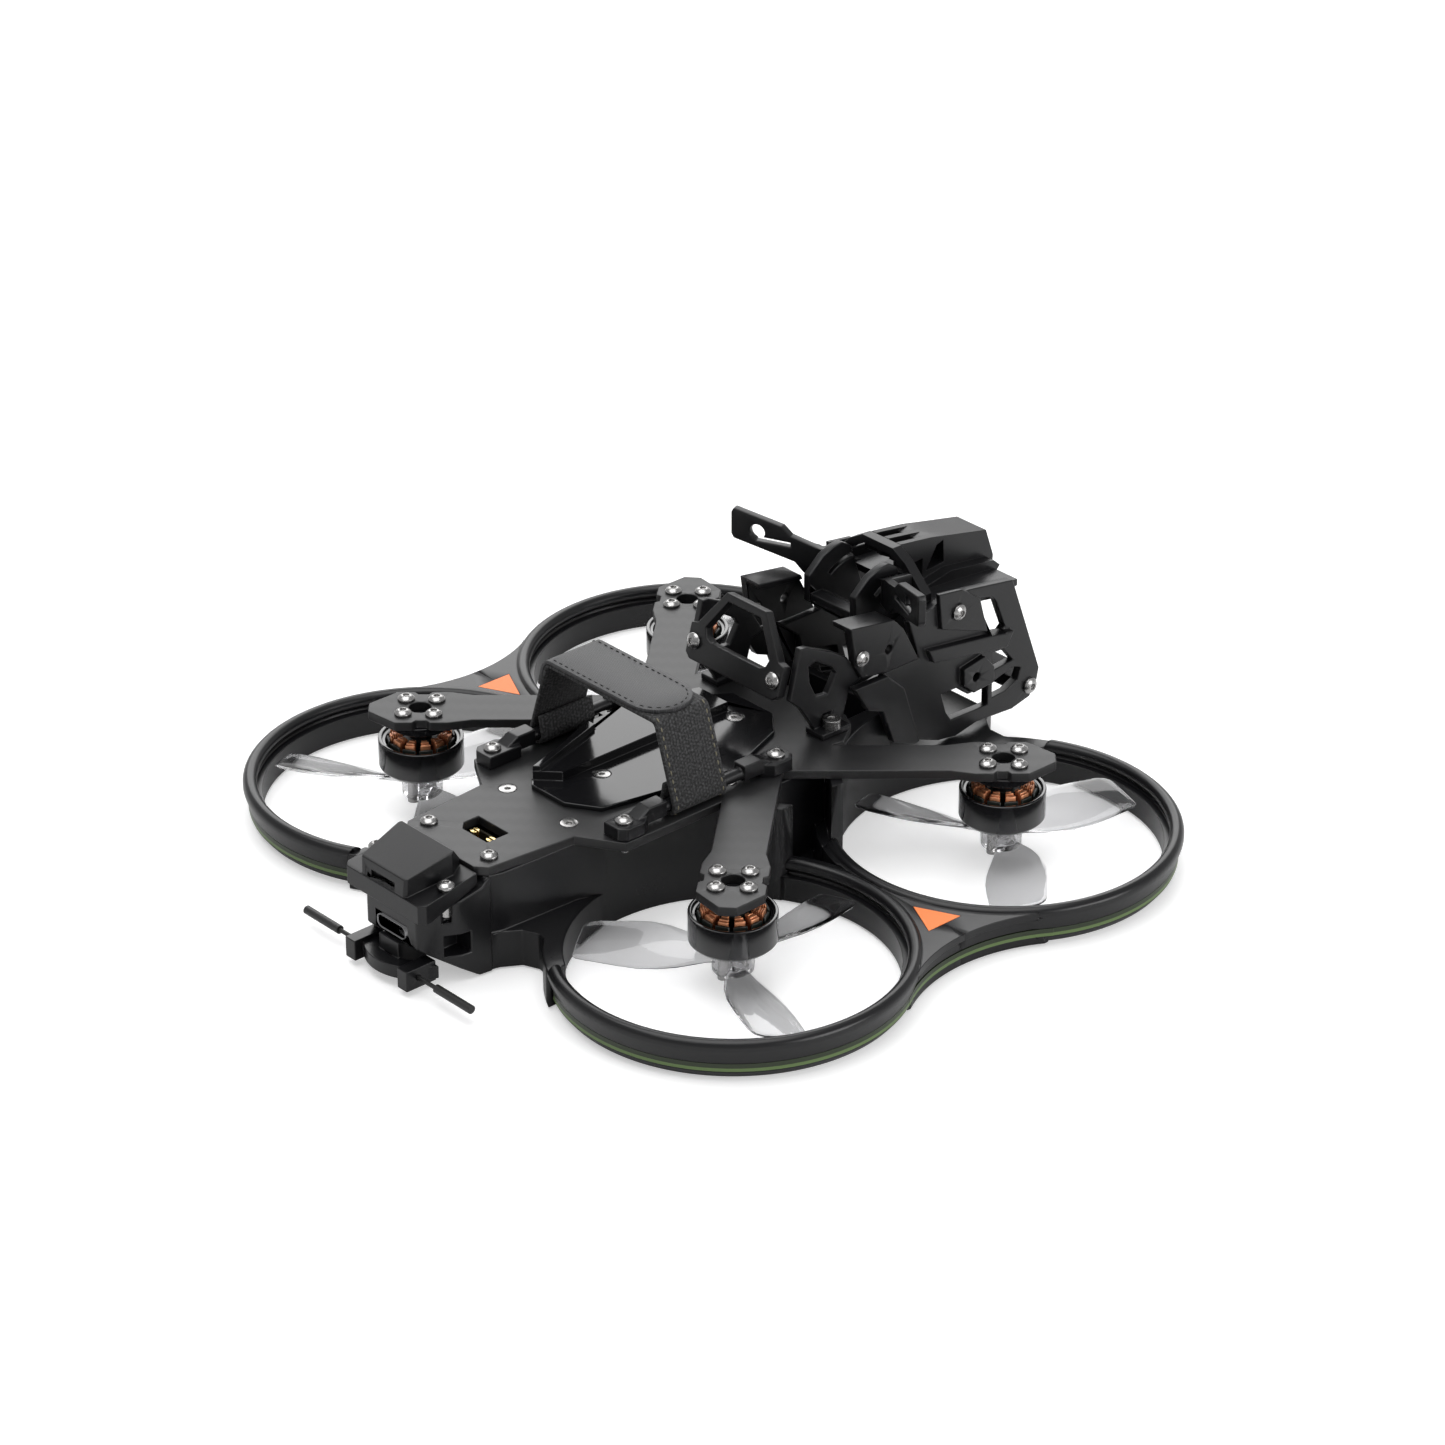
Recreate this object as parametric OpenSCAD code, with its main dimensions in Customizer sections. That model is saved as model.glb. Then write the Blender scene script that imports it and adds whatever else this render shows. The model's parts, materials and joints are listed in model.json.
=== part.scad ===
// Ducted racing quadcopter with a moulded duct frame, a carbon top plate with
// four motors hung under its arms, a battery strap and an empty camera cage.
// +X is forward, +Y is left, +Z is up. The origin lies midway between the four
// motor axes, on the plane that the ducts stand on.

/* [Layout] */
// Distance between the front and rear motor axes
motor_span_x = 74; // [70:1:90]
// Distance between the left and right motor axes
motor_span_y = 96.2; // [95:0.1:116]
// Angle of each arm from the long axis
arm_angle = 42; // [40:1:44]

/* [Ducts] */
// Diameter swept by the propeller tips
prop_d = 63; // [52:1:64]
// Gap between a propeller tip and its duct
tip_gap = 1.65; // [1:0.05:2]
// Height of a duct from the standing plane to the top of its lip
duct_h = 9; // [7.5:0.1:11]
// Width of the rounded lip
lip_w = 3; // [2.4:0.1:3.6]
// Height of the light strip
led_h = 1.7; // [1.2:0.1:2]
// Depth of the light strip in its groove
led_t = 1; // [0.8:0.1:1.2]
// Clearance around the light strip
led_gap = 0.05; // [0.02:0.01:0.1]

/* [Top plate] */
// Height of the plate's underside above the standing plane
plate_z = 21.2; // [20:0.1:25.5]
// Thickness of the carbon plate
plate_t = 2; // [1.6:0.1:2.5]
// Width of an arm
arm_w = 11; // [9.5:0.1:12]
// Width of the pad that holds a motor
pad_w = 13.6; // [13:0.1:16]

/* [Motors] */
// Diameter of the motor bell
bell_d = 17.8; // [17.4:0.1:20]
// Height of the motor bell
bell_h = 7; // [6:0.1:8.2]
// Gap from the plate to the rim of the bell
bell_drop = 4.7; // [4.2:0.1:5]
// Thickness of the bell's wall
bell_wall = 0.8; // [0.6:0.1:1]
// Diameter of the stator
stator_d = 14; // [12.5:0.1:14.4]
// Height of the stator
stator_h = 4; // [3.4:0.1:4.8]
// Diameter of the motor shaft
shaft_d = 1.5; // [1.25:0.05:2]
// Radial running clearance of the shaft
shaft_gap = 0.05; // [0.02:0.01:0.1]
// Diameter of the circle of the motor screws
motor_pcd = 9; // [8.5:0.1:10]

/* [Propellers] */
// Diameter of the propeller hub
hub_d = 9; // [8:0.1:10]
// Height of the propeller hub
hub_h = 6.4; // [5.4:0.1:7]
// Width of a blade at its widest
blade_w = 13; // [10:0.5:15]
// Thickness of a blade
blade_t = 1; // [0.8:0.1:1.3]
// Pitch angle of a blade
blade_pitch = 15; // [10:1:18]

/* [Fasteners] */
// Diameter of the small machine screws
screw_d = 2; // [1.6:0.1:2.2]
// Diameter of a button head
head_d = 3.6; // [3.2:0.1:4]
// Height of a button head
head_h = 1.3; // [1.1:0.1:1.6]
// Clearance of a through hole on the screw's diameter
hole_gap = 0.2; // [0.1:0.05:0.4]

/* [Battery mount] */
// Width of the battery strap
strap_w = 14; // [11.5:0.5:17]
// Thickness of the strap
strap_t = 1.2; // [1:0.1:1.5]
// Height of the battery that the strap goes over
battery_h = 18.4; // [15:0.2:23]
// Distance between the two feet of a strap bar
bar_span = 40.7; // [36:0.1:44]
// Diameter of a strap bar
bar_d = 2.6; // [2.2:0.1:3]

/* [Camera cage] */
// Width between the outer faces of the side plates
cage_w = 32; // [30:0.5:38]
// Thickness of a side plate
cage_t = 2; // [1.6:0.1:2.4]
// Width of the camera cradle over its cheeks
cradle_w = 15.6; // [13:0.2:18.8]
// Thickness of a cradle cheek
cheek_t = 1.8; // [1.4:0.1:2]
// Radius from the tilt axis to the middle of the curved slot
slot_r = 11.5; // [11:0.1:12]
// Radial running clearance of the cradle on its pins
pivot_gap = 0.05; // [0.02:0.01:0.1]
// Distance of an antenna arm's tip from the middle of the cage
arm_reach = 28; // [24:0.5:34]

/* [Tail] */
// Width of the rear cover
cover_w = 24.4; // [22:0.2:26]
// Length of the antenna from tip to tip
antenna_len = 51.6; // [45:0.2:62]
// Diameter of the antenna sleeves
sleeve_d = 1.8; // [1.5:0.1:2.2]

/* [Hidden] */
$fn = 64;
eps = 0.01;
a = motor_span_x / 2;
b = motor_span_y / 2;
duct_r = prop_d / 2 + tip_gap;
skirt_r = duct_r + 4.05;
lip_r = skirt_r - lip_w / 2;
skirt_h = duct_h - 0.85;
plate_top = plate_z + plate_t;
led_z = 2.2;
web_depth = 27;
web_fillet = (a * a + web_depth * web_depth - skirt_r * skirt_r) / (2 * (skirt_r - web_depth));
// y where the fuselage takes over the duct wall
split_y = b - 17.1;
// the fuselage's wall beside a duct
side_y = b - duct_r - 1.5;
// the skirt under the crease, and the light strip in it, stand this far back
skirt_in = 0.95;
led_r = skirt_r - skirt_in;
led_end = b - split_y - 1;
// where a duct's outer wall meets the fillet, from the middle and from the fillet's centre
fillet_x = a * web_fillet / (skirt_r + web_fillet);
fillet_y = -(web_depth + web_fillet) * web_fillet / (skirt_r + web_fillet);
bell_top = plate_z - bell_drop;
bell_z = bell_top - bell_h;
hub_z = bell_z - hub_h;
base_r = motor_pcd / 2 + 1.7;
base_t = 1.8;
tube_r = 2.4;
stator_z = bell_z + 2.4;
magnet_gap = 0.35;
cage_y = cage_w / 2;
cheek_y = cradle_w / 2;
tilt_x = 46.3;
tilt_z = 35;
slot_from = 91;
slot_to = 128;
hoop_x = 47;
stack_x = -11;
stack_r = 25.5 / sqrt(2);
socket_x = -60.1;
bar_y = 20.2;
bar_x0 = -40.7;
bar_x1 = bar_x0 + bar_span;
bar_foot = 3.2;
tail_x = -83.6;
cover_x = -85.7;
strap_x = -22.3;

// each corner's name, its signs along X and Y, and where its first blade stands
QUADS = [["front_left", 1, 1, 31], ["front_right", 1, -1, -7],
         ["rear_left", -1, 1, 2], ["rear_right", -1, -1, 4]];
ROTOR_PARTS = ["motor_mount", "stator", "bell", "shaft", "propeller", "prop_screws"];

// ---- helpers -------------------------------------------------------------

module both_sides() {
    children();
    mirror([0, 1, 0]) children();
}

module at_quad(q) translate([q[1] * a, q[2] * b, 0]) children();

// an outline drawn in X and Z, given a thickness along Y from y0 outwards
module side_slab(y0, t) translate([0, y0 + t, 0]) rotate([90, 0, 0]) linear_extrude(t) children();

// a closed outline from the half that lies at positive x, and its mirror image
module mirrored_polygon(half) polygon(concat(half, flip_x(half)));

module across(x, z, y0, y1, r) translate([x, y0, z]) rotate([-90, 0, 0]) cylinder(r = r, h = y1 - y0);

module screw_holes(points, z0, z1, d = screw_d + hole_gap)
    for (p = points) translate([p[0], p[1], z0]) cylinder(d = d, h = z1 - z0);

// a button-head screw, its head standing on z = 0 and its thread hanging below
module button_screw(len, d = screw_d) {
    difference() {
        rotate_extrude() intersection() {
            translate([0, head_h - 2.4]) circle(r = 2.4);
            square([head_d / 2, head_h]);
        }
        translate([0, 0, head_h - 0.7]) cylinder(r = 0.75, h = 1, $fn = 6);
    }
    translate([0, 0, -len]) cylinder(d = d, h = len);
}

module countersunk_screw(len, d = screw_d) {
    difference() {
        rotate_extrude() polygon([[0, 0], [head_d / 2, 0], [d / 2, -1], [0, -1]]);
        translate([0, 0, -0.6]) cylinder(r = 0.7, h = 1, $fn = 6);
    }
    translate([0, 0, -len]) cylinder(d = d, h = len - 1);
}

// ---- ducts and fuselage --------------------------------------------------

module duct_profile() {
    difference() {
        union() {
            polygon([[duct_r + 0.4, 0], [led_r - 1.2, 0.4], [led_r - 0.2, led_z - 0.5], [led_r, led_z],
                     [led_r, led_z + led_h], [skirt_r, duct_h - lip_w / 2 - 0.5], [skirt_r, duct_h - lip_w / 2],
                     [lip_r, duct_h - lip_w / 2], [lip_r - 1, 5.6], [duct_r, 5.6], [duct_r, 0.4]]);
            translate([lip_r, duct_h - lip_w / 2]) circle(r = lip_w / 2);
        }
        translate([led_r - led_t - led_gap, led_z - led_gap])
            square([2 * led_t, led_h + 2 * led_gap]);
    }
}

// the flat web between two ducts of one side, as an outline
module web_outline(inset = 0) {
    difference() {
        translate([-a, -b - web_depth - web_fillet])
            square([motor_span_x, web_depth + web_fillet + b - split_y + 2]);
        // the web sinks a little into the ducts' walls and meets them at a slight angle
        for (s = [-1, 1]) translate([s * a, -b]) circle(r = skirt_r - inset - 0.7);
        translate([0, -b - web_depth - web_fillet]) circle(r = web_fillet + inset + 0.15);
        translate([-a, -b - web_depth - web_fillet]) square([motor_span_x, web_fillet - 4]);
    }
}

module insert_outline(grow = 0) {
    polygon([[0, -b - 12.4 + 2 * grow], [4.3 + grow, -b - 21.2 - grow], [-4.3 - grow, -b - 21.2 - grow]]);
}

module duct(q) color("dimgray") {
    mirror([q[1] < 0 ? 1 : 0, 0, 0]) mirror([0, q[2] > 0 ? 1 : 0, 0]) difference() {
        union() {
        translate([a, -b, 0]) rotate_extrude($fn = 128) duct_profile();
        difference() {
            intersection() {
                union() {
                    translate([0, 0, 0.4]) linear_extrude(skirt_h - 0.4) web_outline(skirt_in);
                    translate([0, 0, skirt_h - 1.6]) linear_extrude(1.6) web_outline();
                }
                translate([0, -2 * b - skirt_r, -1]) cube([a, 3 * b, duct_h + 2]);
            }
            // pocket between the lips, open at the top
            translate([0, 0, 2]) linear_extrude(skirt_h) difference() {
                translate([-1, -b + 6]) square([a, b]);
                for (s = [-1, 1]) translate([s * a, -b]) circle(r = skirt_r + 1);
            }
            translate([0, 0, skirt_h - 1]) linear_extrude(2) insert_outline(led_gap);
            translate([0, 0, led_z - led_gap]) linear_extrude(led_h + 2 * led_gap)
                difference() {
                    translate([-1, -b - web_depth - 10]) square([a + 1, 20]);
                    translate([0, -b - web_depth - web_fillet]) difference() {
                        circle(r = 3 * web_fillet);
                        circle(r = web_fillet + skirt_in + led_t + led_gap);
                    }
                }
        }
        }
        // the fuselage takes over the wall here, and the other duct across the middle
        translate([-2 * skirt_r, -split_y, -1]) cube([a + 4 * skirt_r, 2 * b, duct_h + 2]);
        translate([-3 * skirt_r, -2 * b - skirt_r, -1]) cube([3 * skirt_r, 3 * b, duct_h + 2]);
    }
}

module side_inserts() color("orange") both_sides()
    translate([0, 0, skirt_h - 1]) linear_extrude(1) insert_outline();

// one light strip follows both ducts and the fillet between them
module led_strips() color("yellowgreen") both_sides()
    translate([0, 0, led_z]) linear_extrude(led_h) union() {
        for (s = [-1, 1]) translate([s * a, -b]) difference() {
            circle(r = led_r, $fn = 128);
            circle(r = led_r - led_t, $fn = 128);
            // the strip ends beside the nose and the tail, and at the fillet
            translate([-2 * a, led_end]) square([4 * a, 2 * a]);
            translate([s > 0 ? -2 * a - fillet_x : fillet_x, -2 * a]) square([2 * a, 4 * a]);
        }
        translate([0, -b - web_depth - web_fillet]) difference() {
            circle(r = web_fillet + skirt_in + led_t, $fn = 128);
            circle(r = web_fillet + skirt_in, $fn = 128);
            translate([-3 * web_fillet, -5 * web_fillet - fillet_y]) square([6 * web_fillet, 5 * web_fillet]);
        }
    }

// upper outline of the fuselage: it carries the plate
module upper_outline() difference() {
    both_sides() polygon([
        [-a - 33, 0], [-a - 33, 12], [-a - 29, 13.2], [-a - 11, 13.9], [-a, side_y + 3], [-a + 6, split_y],
        [-5.3, split_y], [-11.2, 23], [11.2, 23], [5.3, split_y],
        [a - 6, split_y], [a, side_y + 3], [a + 1, 13.6], [a + 1, 0]]);
    for (q = QUADS) translate([q[1] * a, q[2] * b]) circle(r = duct_r, $fn = 128);
}

// lower outline of the fuselage: it closes the ends of the four ducts
module lower_outline() difference() {
    union() {
        both_sides() polygon([[-72, 0], [-72, 12], [-67.3, 13.2], [-63.4, 15.6], [-62, 19], [-62.6, 22], [-64.4, 24.6],
                              [-a, split_y], [a, split_y], [65.4, 25], [63.8, 22], [63.8, 18], [66.2, 14.4],
                              [70, 12], [70, 0]]);
        for (q = QUADS) intersection() {
            translate([q[1] * a, q[2] * b]) circle(r = skirt_r, $fn = 128);
            translate([-2 * motor_span_x, -split_y]) square([4 * motor_span_x, 2 * split_y]);
        }
    }
    for (q = QUADS) translate([q[1] * a, q[2] * b]) circle(r = duct_r, $fn = 128);
}

module fuselage_cavity() {
    // bay for the electronics, open at the top
    translate([0, 0, 2]) linear_extrude(plate_z) both_sides()
        polygon([[-a - 30, -eps], [-a - 30, 11], [-a + 1, 11.6], [-19, 19], [-14, 22], [-8, 22],
                 [-7, 20.5], [8, 20.5], [14, 16.5], [22, 12.2], [a - 1, 11.6], [a - 1, -eps]]);
}

module fuselage() color("dimgray") difference() {
    union() {
        linear_extrude(plate_z) upper_outline();
        linear_extrude(skirt_h) lower_outline();
        // tail block, with a sloping belly
        intersection() {
            translate([0, 20, 0]) rotate([90, 0, 0]) linear_extrude(40)
                polygon([[-a - 32, 0], [-a - 35, 0], [tail_x, 8], [tail_x, 15.9], [-a - 34, 19.5], [-a - 32, plate_z]]);
            linear_extrude(plate_z) both_sides()
                polygon([[tail_x, 0], [tail_x, 7.6], [tail_x + 0.9, 8.8], [-a - 39, 12.2], [-a - 30, 13.4], [-a - 30, 0]]);
        }
    }
    fuselage_cavity();
    // room for the pocket between the front and rear ducts
    both_sides() translate([0, 0, 2]) linear_extrude(duct_h) difference() {
        translate([-a, -b]) square([motor_span_x, b - 23]);
        for (s = [-1, 1]) translate([s * a, -b]) circle(r = skirt_r + 1);
    }
    // tunnel for the usb port and the vents beside it
    translate([tail_x - 1, -4.7, 8.6]) cube([14, 9.4, 3.4]);
    both_sides() translate([-a - 42, -16, 6]) cube([5.2, 8, 4.6]);
    // hollow tail
    translate([tail_x + 1.6, -6, 12.6]) cube([10, 12, 1.8]);
    screw_holes([for (s = [-1, 1]) [-66.2, s * 9.3]], plate_z - 6, plate_z + 1, screw_d);
    screw_holes([for (s = [-1, 1]) [-78.3, s * 10.6]], 13.5, plate_z, screw_d);
    // seats of the cage's feet
    screw_holes([for (s = [-1, 1]) [57.6, s * 10.5]], 2, duct_h, screw_d);
    // holes for the screws of the strap bars and of the cage's rails
    screw_holes(concat(bar_points, cap_points), plate_z - 6, plate_z + 1, screw_d);
}

// ---- top plate -----------------------------------------------------------

// a point of the front left arm: u runs outwards from the motor, v across the arm
function arm_point(u, v) = [a + u * cos(arm_angle) - v * sin(arm_angle), b + u * sin(arm_angle) + v * cos(arm_angle)];

// where an arm's edge reaches a given y or x
function arm_at_y(y, v) = arm_point((y - b - v * cos(arm_angle)) / sin(arm_angle), v);
function arm_at_x(x, v) = arm_point((x - a + v * sin(arm_angle)) / cos(arm_angle), v);

function flip_x(list) = [for (k = [len(list) - 1:-1:0]) [-list[k][0], list[k][1]]];
function flip_y(list) = [for (k = [len(list) - 1:-1:0]) [list[k][0], -list[k][1]]];

// one edge of an arm: it widens to the pad, with a notch in its side and a pointed end
pad_edge = [[-11, arm_w / 2], [-6, pad_w / 2], [-2.3, pad_w / 2], [-1.6, pad_w / 2 - 1], [0.6, pad_w / 2 - 1],
            [1.3, pad_w / 2], [5, pad_w / 2], [10.6, 1.8]];
arm_outline = concat([for (p = pad_edge) arm_point(p[0], -p[1])],
    [for (k = [len(pad_edge) - 1:-1:0]) arm_point(pad_edge[k][0], pad_edge[k][1])]);
plate_left = concat([[26, 13], [24, 17], [18, 21], arm_at_y(21, -arm_w / 2)], arm_outline,
    [arm_at_x(0, arm_w / 2)], flip_x(arm_outline), flip_x([arm_at_y(23.4, -arm_w / 2)]),
    [[-43, 23.4], [-48.6, 14.3], [-69, 12.6], [-71, 10.2]]);
plate_points = concat([for (s = [-1, 1]) [-45.8, s * 9.45]], [for (s = [-1, 1]) [-66.2, s * 9.3]]);
bar_points = [for (s = [-1, 1]) for (x = [bar_x0, bar_x1]) [x, s * bar_y]];
stack_points = [[stack_x - stack_r, 0], [stack_x + stack_r, 0], [stack_x, -stack_r], [stack_x, stack_r]];
// the two stack screws that sit in the plate, beside the tray
side_points = [stack_points[2], stack_points[3]];
motor_hole_points = [for (q = QUADS) for (k = [0:3])
    [q[1] * a + motor_pcd / 2 * cos(90 * k), q[2] * b + motor_pcd / 2 * sin(90 * k)]];
cap_points = [for (s = [-1, 1]) [18.4, s * 17]];

module top_plate() color("darkslategray") difference() {
    translate([0, 0, plate_z]) linear_extrude(plate_t) polygon(concat(plate_left, flip_y(plate_left)));
    // opening for the power socket, and the hole at the centre of each pad
    translate([socket_x - 2.7, -4.6, plate_z - 1]) linear_extrude(plate_t + 2)
        polygon([[0, 0], [5.4, 0], [5.4, 9.2], [1.7, 9.2], [0, 7.5]]);
    for (q = QUADS) at_quad(q) translate([0, 0, plate_z - 1]) cylinder(d = 4.6, h = plate_t + 2);
    screw_holes(concat(plate_points, bar_points, stack_points, motor_hole_points, cap_points), plate_z - 1, plate_top + 1);
    for (p = concat(plate_points, side_points)) if (p[0] > -60) translate([p[0], p[1], plate_top - 1 - eps])
        cylinder(r1 = screw_d / 2 + hole_gap / 2, r2 = head_d / 2 + 0.1, h = 1 + 2 * eps);
}

// ---- battery mount -------------------------------------------------------

tray_t = 1;
tray_step = 2;

module battery_tray() color("dimgray") difference() {
    union() {
        translate([0, 0, plate_top]) linear_extrude(tray_t)
            polygon([[-42.4, -4], [-38.2, -10.6], [-30, -12.2], [-8, -16.4], [9, -10], [14, -4], [14, 8], [4, 15.4],
                     [-8, 17.4], [-16, 17.8], [-30, 11], [-41, 7.6], [-42.4, 6]]);
        // the left half is a step higher, with a lip along its outer edge
        translate([0, 0, plate_top + tray_t - eps]) linear_extrude(tray_step)
            polygon([[-41, 7.4], [-36.8, 3], [8, 3], [8, 12], [-9, 17.2], [-15.6, 17.4], [-30, 10.8]]);
        translate([0, 0, plate_top + tray_t + tray_step - 2 * eps]) linear_extrude(1.2)
            polygon([[-41, 7.4], [-39.8, 6.2], [-20, 12.4], [-20, 15], [-30, 10.8]]);
    }
    for (p = stack_points) {
        screw_holes([p], plate_top - 1, plate_top + 6);
        translate([p[0], p[1], plate_top + tray_t - 1]) cylinder(r1 = screw_d / 2 + hole_gap / 2, r2 = head_d / 2 + 0.1, h = 1 + eps);
    }
    screw_holes(side_points, plate_top - 1, plate_top + 6, head_d + 0.6);
    // room for the strap where it turns under its bars
    both_sides() translate([strap_x - strap_w / 2 - 0.4, 16, plate_top - 1]) cube([strap_w + 0.8, 9, 9]);
}

module strap_bar() {
    bar_z = plate_top + bar_foot - 1;
    // two feet with ramps, and the round bar between them
    for (k = [0, 1]) translate([k == 0 ? bar_x0 : bar_x1, bar_y, plate_top]) mirror([k, 0, 0]) {
        difference() {
            linear_extrude(bar_foot - 0.4)
                polygon([[-3, -2.8], [-3, 1.6], [-1.6, 3], [3, 3], [5.4, 1], [5.4, -2.8]]);
            translate([0, 0, -1]) cylinder(d = screw_d + hole_gap, h = bar_foot + 3);
        }
        translate([0, 1.6, 0]) rotate([90, 0, 0]) linear_extrude(3.4)
            polygon([[2.4, bar_foot - 0.4], [5.3, bar_foot + 1.2], [10, bar_foot + 1.2], [10, 1], [5.3, 1], [2.4, 1]]);
    }
    translate([bar_x0 + 9, bar_y - 0.1, bar_z]) rotate([0, 90, 0]) cylinder(d = bar_d, h = bar_span - 18);
}

module strap_bars() color("dimgray") both_sides() strap_bar();

// the strap as a plain arch that wraps under both bars
strap_top = plate_top + tray_t + battery_h + strap_t;
module battery_strap() color("dimgray") {
    in_y = 17.4 - strap_t;
    foot_y = bar_y + bar_d / 2 + 0.3;
    low_z = plate_top + bar_foot - 1;
    half = [[in_y - 1, strap_top], [in_y + strap_t, strap_top - 1.6], [foot_y + strap_t, low_z + 2],
            [foot_y + strap_t, low_z - bar_d / 2 - 0.4], [foot_y - 3.2, low_z - bar_d / 2 - 0.4],
            [foot_y - 4.2, low_z + 2.4], [foot_y - 3.2, low_z + 4.6], [foot_y - 2.2, low_z + 4.6],
            [foot_y - 3, low_z + 2.2], [foot_y - 3, low_z + 2], [foot_y, low_z + 1.9],
            [in_y, strap_top - 2], [in_y - 1.4, strap_top - strap_t]];
    difference() {
        translate([strap_x - strap_w / 2, 0, 0]) rotate([90, 0, 90]) linear_extrude(strap_w)
            mirrored_polygon(half);
        both_sides() translate([bar_x0, bar_y - 0.1, low_z]) rotate([0, 90, 0]) cylinder(d = bar_d + 0.1, h = bar_span);
    }
}

// ---- electronics ---------------------------------------------------------

board_t = 1.2;
board_z = plate_z - 9;

module flight_controller() color("darkgreen") {
    difference() {
        translate([stack_x, 0, board_z]) rotate(45) translate([-15, -15, 0]) cube([30, 30, board_t]);
        for (p = stack_points) translate([p[0], p[1], board_z - 1]) cylinder(d = 3.6, h = 4);
    }
    translate([stack_x - 4, -4, board_z + board_t - eps]) cube([8, 8, 1.2]);
    translate([stack_x - 9, -7, board_z - 1.6]) cube([18, 14, 1.6 + eps]);
}

module standoffs() color("gold") for (p = stack_points)
    translate([p[0], p[1], 2]) difference() {
        union() {
            cylinder(d = 3.2, h = plate_z - 2, $fn = 6);
            // the board stands on the wider lower part
            cylinder(d = 4.6, h = board_z - 2, $fn = 6);
        }
        translate([0, 0, 10]) cylinder(d = screw_d, h = plate_z);
    }

module power_socket() color("goldenrod") difference() {
    translate([socket_x - 2.5, -4.4, plate_z - 13]) linear_extrude(12.6)
        polygon([[0, 0], [5, 0], [5, 8.8], [1.6, 8.8], [0, 7.2]]);
    translate([socket_x - 1.9, -3.8, plate_z - 8]) linear_extrude(9)
        polygon([[0, 0], [3.8, 0], [3.8, 7.6], [1.3, 7.6], [0, 6.3]]);
    for (s = [-1, 1]) translate([socket_x, s * 2.5, plate_z - 14]) cylinder(d = 2, h = 8);
}

module power_pins() color("gold") for (s = [-1, 1])
    translate([socket_x, s * 2.5, plate_z - 15]) difference() {
        cylinder(d = 2, h = 15.8);
        translate([-0.15, -2, 10]) cube([0.3, 4, 9]);
    }

module usb_port() color("silver") {
    difference() {
        translate([tail_x - 0.2, -4.47, 8.62]) cube([7.4, 8.94, 3.16]);
        translate([tail_x - 1, -4.1, 8.95]) cube([6, 8.2, 2.5]);
    }
    translate([tail_x + 0.6, -3.3, 9.85]) cube([5, 6.6, 0.7]);
    translate([tail_x + 7.2 - eps, -4.4, 8.7]) cube([5, 8.8, 1]);
}

module capacitor() color("navy") translate([-52, 0, 6]) rotate([0, 90, 0]) {
    cylinder(d = 8, h = 12);
    for (s = [-1, 1]) translate([0, s * 1.75, 12]) cylinder(d = 0.7, h = 4);
}

// ---- tail ----------------------------------------------------------------

module rear_cover() color("dimgray") difference() {
    union() {
        // sloping flange
        intersection() {
            side_slab(-20, 40) polygon([
                [cover_x, 16.1], [cover_x, 20.1], [-a - 34.2, plate_z + 1.2], [-a - 34.2, 19.7], [tail_x + 0.2, 16.1]]);
            linear_extrude(40) both_sides() polygon([
                [cover_x, 0], [cover_x, cover_w / 2 - 1.2], [cover_x + 1.2, cover_w / 2],
                [-a - 34.2, cover_w / 2 - 0.6], [-a - 34.2, 0]]);
        }
        // raised lid
        intersection() {
            side_slab(-20, 40) polygon([
                [cover_x + 0.1, 19.6], [cover_x + 0.4, 24], [-74, 27], [-71.4, plate_top + 0.6], [-71.4, 20]]);
            linear_extrude(40) both_sides() polygon([
                [cover_x, 0], [cover_x, 6.2], [cover_x + 0.9, 7], [-74.6, 8.4], [-71.2, 6.4], [-71.2, 0]]);
        }
    }
    translate([cover_x - 1, -3.6, 20.4]) cube([2, 7.2, 1.8]);
    screw_holes([for (s = [-1, 1]) [-78.3, s * 10.6]], 10, 30);
    // hollow under the lid
    translate([-83, -5, 15]) cube([9, 10, 7]);
}

module antenna() color("black") {
    both_sides() {
        across(cover_x + 0.8, 3.3, 0, antenna_len / 2 - 10.7, 0.45);
        across(cover_x + 0.8, 3.3, antenna_len / 2 - 10.7, antenna_len / 2, sleeve_d / 2);
    }
}

module antenna_mount() color("dimgray") difference() {
    union() {
        // curved carrier, a clip at each end, and the foot under the tail
        translate([cover_x + 9, 0, 1.8]) rotate_extrude() translate([8, 0]) square([3.2, 2.8]);
        both_sides() translate([cover_x - 2.2, 6.6, 1]) cube([7.4, 3, 4.5]);
        side_slab(-3, 6) polygon([[cover_x + 1.1, 1.8], [cover_x + 1.1, 8], [tail_x, 8], [-77.5, 3.79], [-77.5, 1.8]]);
    }
    translate([cover_x + 8.2, -30, 0]) cube([40, 60, 20]);
    translate([cover_x + 5.2, 4, 0]) cube([40, 60, 20]);
    translate([cover_x + 5.2, -64, 0]) cube([40, 60, 20]);
    across(cover_x + 0.8, 3.3, -12, 12, 0.5);
}

// ---- camera cage ---------------------------------------------------------

module rear_frame_outline() difference() {
    mirrored_polygon([[5.9, 50.2], [12.2, 41.5], [14, 41], [14, 34.6], [12.6, 33.4]]);
    mirrored_polygon([[4.8, 48.4], [9.6, 41.2], [8.9, 39.4], [7.4, 38.6]]);
    for (s = [-1, 1]) translate([s * 11.9, 37.5]) circle(d = screw_d);
}

// the frame leans forward at its top
module cage_rear_frame() color("dimgray")
    translate([5.6, 0, 33.4]) rotate([0, 16, 0]) translate([0, 0, -33.4])
        rotate([90, 0, 90]) linear_extrude(2.2) rear_frame_outline();

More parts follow.
